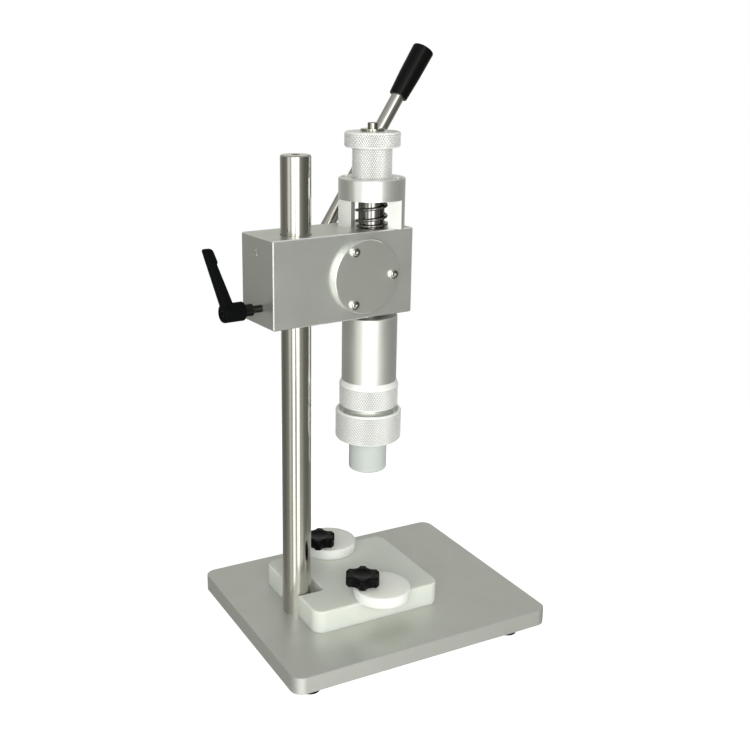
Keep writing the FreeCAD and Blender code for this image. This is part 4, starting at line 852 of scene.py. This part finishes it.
# Scales the colour down into the grooves, as dirt and painted shade together
groove_dirt_and_shade = knurl_tree.nodes.new("ShaderNodeVectorMath")
groove_dirt_and_shade.operation = "SCALE"
knurl_tree.links.new(knurl_shader.inputs["Base Color"].links[0].from_socket, groove_dirt_and_shade.inputs[0])
knurl_tree.links.new(clean.outputs[0], groove_dirt_and_shade.inputs["Scale"])
knurl_tree.links.new(groove_dirt_and_shade.outputs[0], knurl_shader.inputs["Base Color"])

knurl_width = 0.0015
knurl_tallness = 0.00315
knurl_depth = 0.0003
knurl_gap = 0.0002


def rim_points(radius, end, into, offsets):
    """A rim's points. Each offset is how far inside the wall it lies, and how far in from the end."""
    return [(radius - inside, end + into * along) for inside, along in offsets]


def knurled(name, radius, lower, upper, finish, matrix, upper_gap=knurl_gap):
    """A turned ring whose wall carries diamonds. lower and upper are its smooth profiles of (radius,
    height), from the bore out to the wall and from the wall back to the bore. The points' `crest`
    is 1 on a pyramid's tip and 0 in a groove, where the colour is darkened: partly for dirt held in
    the groove and partly as painted shade down in it."""
    start = lower[-1][1] + knurl_gap
    end = upper[0][1] - upper_gap
    columns = 2 * round(2 * math.pi * radius / knurl_width)
    rows = 2 * max(1, round((end - start) / knurl_tallness))
    points = []
    crests = [1.0] * columns * len(lower)
    for reach, height in lower:
        points += circle(reach, height, count=columns)
    first_row = len(lower)
    for row in range(rows + 1):
        height = start + (end - start) * row / rows
        for column in range(columns):
            angle = 2 * math.pi * column / columns
            on_tip = (row + column) % 2
            reach = radius if on_tip else radius - knurl_depth
            points.append((reach * math.cos(angle), reach * math.sin(angle), height))
            crests.append(float(on_tip))
    for reach, height in upper:
        points += circle(reach, height, count=columns)
    crests += [1.0] * columns * len(upper)
    total = len(lower) + rows + 1 + len(upper)
    faces = []
    for row in range(total):
        low = row * columns
        high = (row + 1) % total * columns
        on_knurl = first_row <= row < first_row + rows
        for column in range(columns):
            after = (column + 1) % columns
            corners = (low + column, low + after, high + after, high + column)
            if not on_knurl:
                faces.append(corners)
            elif (row - first_row + column) % 2:
                faces.append((corners[0], corners[1], corners[3]))
                faces.append((corners[1], corners[2], corners[3]))
            else:
                faces.append((corners[0], corners[1], corners[2]))
                faces.append((corners[0], corners[2], corners[3]))
    mesh = bpy.data.meshes.new(name)
    mesh.from_pydata(points, [], faces)
    mesh.attributes.new("crest", "FLOAT", "POINT").data.foreach_set("value", crests)
    return shown(name, mesh, finish, matrix, sharp=18)


# Adjusting sleeve: the tall knurled sleeve on the ram's thread. It presses on the spring and sets the
# spring's load.

neck_radius = (neck_high.x - neck_low.x) / 2
neck_bore = 0.0112
ram_line = Matrix.Translation((ram_axis.x, ram_axis.y, 0))
neck_rim = [(0.0009, 0), (0.0003, 0.0006)]
neck = knurled("neck", neck_radius,
               [(neck_bore, neck_low.z)] + rim_points(neck_radius, neck_low.z, 1, neck_rim),
               rim_points(neck_radius, neck_high.z, -1, reversed(neck_rim)) + [(neck_bore, neck_high.z)],
               knurled_aluminium, ram_line)
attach(neck, "neck")
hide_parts("adjusting_sleeve")

# Stroke knob: the wider knurled knob above it on the same thread. It stops the ram on the cage's
# ring, and a washer and a cap screw keep it on.

low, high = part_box("stroke_knob")
radius = (high.x - low.x) / 2
stop_bore = 0.0081
stop_rim = [(0.0018, 0), (0.0010, 0.0003), (0.0003, 0.0012)]
stop = knurled("stroke_stop", radius,
               [(stop_bore, low.z)] + rim_points(radius, low.z, 1, stop_rim),
               rim_points(radius, high.z, -1, reversed(stop_rim)) + [(stop_bore, high.z)],
               knurled_aluminium, ram_line)
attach(stop, "stroke_knob")
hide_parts("stroke_knob")

# Washer and cap screw: polished steel. The screw goes down into the ram's end and holds the stroke
# knob through its washer.

for node in ("knob_washer", "cap_screw"):
    coated(node, polished_steel)

# Press tube: aluminium tube, turned with a satin wall. It slips on the ram's lower end and a set
# screw holds it.

tube_low, tube_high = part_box("press_tube")
tube_radius = (tube_high.x - tube_low.x) / 2
coated("press_tube", metal("tube_aluminium", (0.79, 0.81, 0.77), 0.43, (30, 30, 1500), 0.00001, mottle=0.03,
                           spun_about=ram_axis, bare=0.9))

# Locking sleeve: aluminium, turned with a smooth sloping shoulder and knurled below it. It turns on
# the thread of the tube's spigot and locks the nut.

low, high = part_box("knurled_sleeve")
radius = (high.x - low.x) / 2
spigot_bore = 0.02205
shoulder_drop = 0.0031
sleeve_rim = [(0.0016, 0), (0.0009, 0.0003), (0.0003, 0.0012)]
shoulder_rim = [(0.0001, 0.0014), (0, 0.0010), (0.0003, 0)]
shoulder_ease = 0.0002
shoulder_gap = 0.0004
sleeve = knurled("locking_sleeve", radius,
                 [(spigot_bore, low.z)] + rim_points(radius, low.z, 1, sleeve_rim),
                 rim_points(radius, high.z - shoulder_drop, -1, shoulder_rim)
                 + [(tube_radius + shoulder_ease, high.z - shoulder_ease),
                    (tube_radius - shoulder_ease, high.z), (spigot_bore, high.z)],
                 knurled_aluminium, ram_line, upper_gap=shoulder_gap)
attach(sleeve, "sleeve")
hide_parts("knurled_sleeve")

# Holder nut: the widest knurled piece, aluminium, turned with a recess on top for the sleeve. A lip
# below holds the press head by its flange.

low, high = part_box("holder_nut")
radius = (high.x - low.x) / 2
recess_radius = 0.02625
recess_depth = 0.005
lip_radius = 0.0170
lip_height = 0.0026
nut_lower_rim = [(0.0022, 0), (0.0012, 0.0003), (0.0003, 0.0015)]
nut_upper_rim = [(0.0003, 0.0012), (0.0009, 0.0003), (0.0015, 0)]
nut_ease = 0.0003
nut = knurled("knurled_nut", radius,
              [(spigot_bore, low.z + lip_height), (lip_radius, low.z + lip_height),
               (lip_radius, low.z + nut_ease), (lip_radius + nut_ease, low.z)]
              + rim_points(radius, low.z, 1, nut_lower_rim),
              rim_points(radius, high.z, -1, nut_upper_rim)
              + [(recess_radius + nut_ease, high.z), (recess_radius, high.z - nut_ease),
                 (recess_radius, high.z - recess_depth), (spigot_bore, high.z - recess_depth)],
              knurled_aluminium, ram_line)
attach(nut, "nut")
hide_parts("holder_nut")

# Press head: turned from translucent white nylon, with a socket below for the cap. Its flange is
# held between the holder nut and the tube's spigot.

coated("press_head", nylon("head_nylon", (0.49, 0.525, 0.505), 0.60, 0.6, 0.010))

# Clamp lever: an oiled black stud with its collar, which pinches the bush on the column, and a
# die-cast handle with a fine textured coat. The handle lifts off the stud's splines to be set again.

coated("clamp_stud", black_steel)
black_casting = moulded("black_casting", (0.003, 0.0038, 0.0038), 0.55, 2600, 0.00008, shine=0.04)
clamp_out = Vector(joints["clamp_turn"]["axis"]).normalized()
clamp_at = Vector(joints["clamp_turn"]["pos_m"])
along_clamp = [clamp_out.dot(corner.co - clamp_at) for corner in nodes["clamp_handle"].data.vertices]
hub_start = min(along_clamp)
hub_length = 0.0193
hub_radius = 0.00775
hub_crown = 0.002
hub_crown_in = 0.0006
hub_crown_down = 0.0007
hub_edge = 0.0008
core_bore = 0.00455
core_depth = 0.0081
web_bore = 0.0022
web_depth = 0.0105
recess_bore = 0.0038
arm_from = 0.005
arm_height = 0.053
arm_width = 0.0111
tip_width = 0.0069
arm_thickness = 0.0085
tip_thickness = 0.0066
arm_below_crown = 0.0069
arm_middle = hub_length - arm_below_crown
arm_lean = 0.355
tooth_height = 0.041
tooth_step = 0.0014
tooth_rise = 0.0008
tip_rounding = 0.0022
hub_profile = [
    (core_bore, 0), (hub_radius - hub_edge, 0), (hub_radius, hub_edge),
    (hub_radius, hub_length - hub_crown), (hub_radius - hub_crown_in, hub_length - hub_crown_down),
    (hub_radius - hub_crown, hub_length), (recess_bore, hub_length), (recess_bore, web_depth),
    (web_bore, web_depth), (web_bore, core_depth), (core_bore, core_depth),
]
hub_mesh = skinned("clamp_hub", [circle(radius, height) for radius, height in hub_profile], ring=True)


def arm_section(height, inset, count=48):
    """The arm's section at a height above the stud: a rounded oblong, wider on the tooth's side."""
    share_up = height / arm_height
    middle = arm_middle + arm_lean * height
    half_width = (arm_width + (tip_width - arm_width) * share_up) / 2 - inset
    half_thickness = (arm_thickness + (tip_thickness - arm_thickness) * share_up) / 2 - inset
    tooth = min(max((height - tooth_height) / tooth_rise, 0), 1) * tooth_step
    points = []
    for step in range(count):
        angle = 2 * math.pi * step / count
        across = math.copysign(math.sqrt(abs(math.cos(angle))), math.cos(angle))
        outward = math.copysign(math.sqrt(abs(math.sin(angle))), math.sin(angle))
        reach = half_width if outward > 0 else half_width + tooth
        points.append((half_thickness * across, height, middle + reach * outward))
    return points


arm_rows = 40
tip_rows = 6
casting_grain = 0.00035
arm_loops = [arm_section(arm_from + (arm_height - tip_rounding - arm_from) * row / arm_rows, 0)
             for row in range(arm_rows + 1)]
for step in range(1, tip_rows):
    sweep = math.pi / 2 * step / tip_rows
    arm_loops.append(arm_section(arm_height - tip_rounding * (1 - math.sin(sweep)),
                                 tip_rounding * (1 - math.cos(sweep))))
casting = bmesh.new()
for part in (hub_mesh, skinned("clamp_arm", arm_loops)):
    casting.from_mesh(part)
bmesh.ops.recalc_face_normals(casting, faces=casting.faces)
rough_handle = bpy.data.meshes.new("clamp_casting")
casting.to_mesh(rough_handle)
casting.free()
pattern = bpy.data.objects.new("clamp_pattern", rough_handle)
bpy.context.scene.collection.objects.link(pattern)
joined = pattern.modifiers.new("one_casting", "REMESH")
joined.mode = "VOXEL"
joined.voxel_size = casting_grain
softened = pattern.modifiers.new("cast_edges", "SMOOTH")
softened.factor = 0.5
softened.iterations = 4
handle_mesh = bpy.data.meshes.new_from_object(pattern.evaluated_get(bpy.context.evaluated_depsgraph_get()))
bpy.data.objects.remove(pattern)
handle_side = upright.cross(clamp_out)
handle_frame = Matrix((handle_side, upright, clamp_out)).transposed().to_4x4()
handle_frame = Matrix.Translation(clamp_at + clamp_out * hub_start) @ handle_frame
handle = shown("clamp_lever", handle_mesh, black_casting, handle_frame, sharp=60)
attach(handle, "clamp_handle")
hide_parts("clamp_handle")
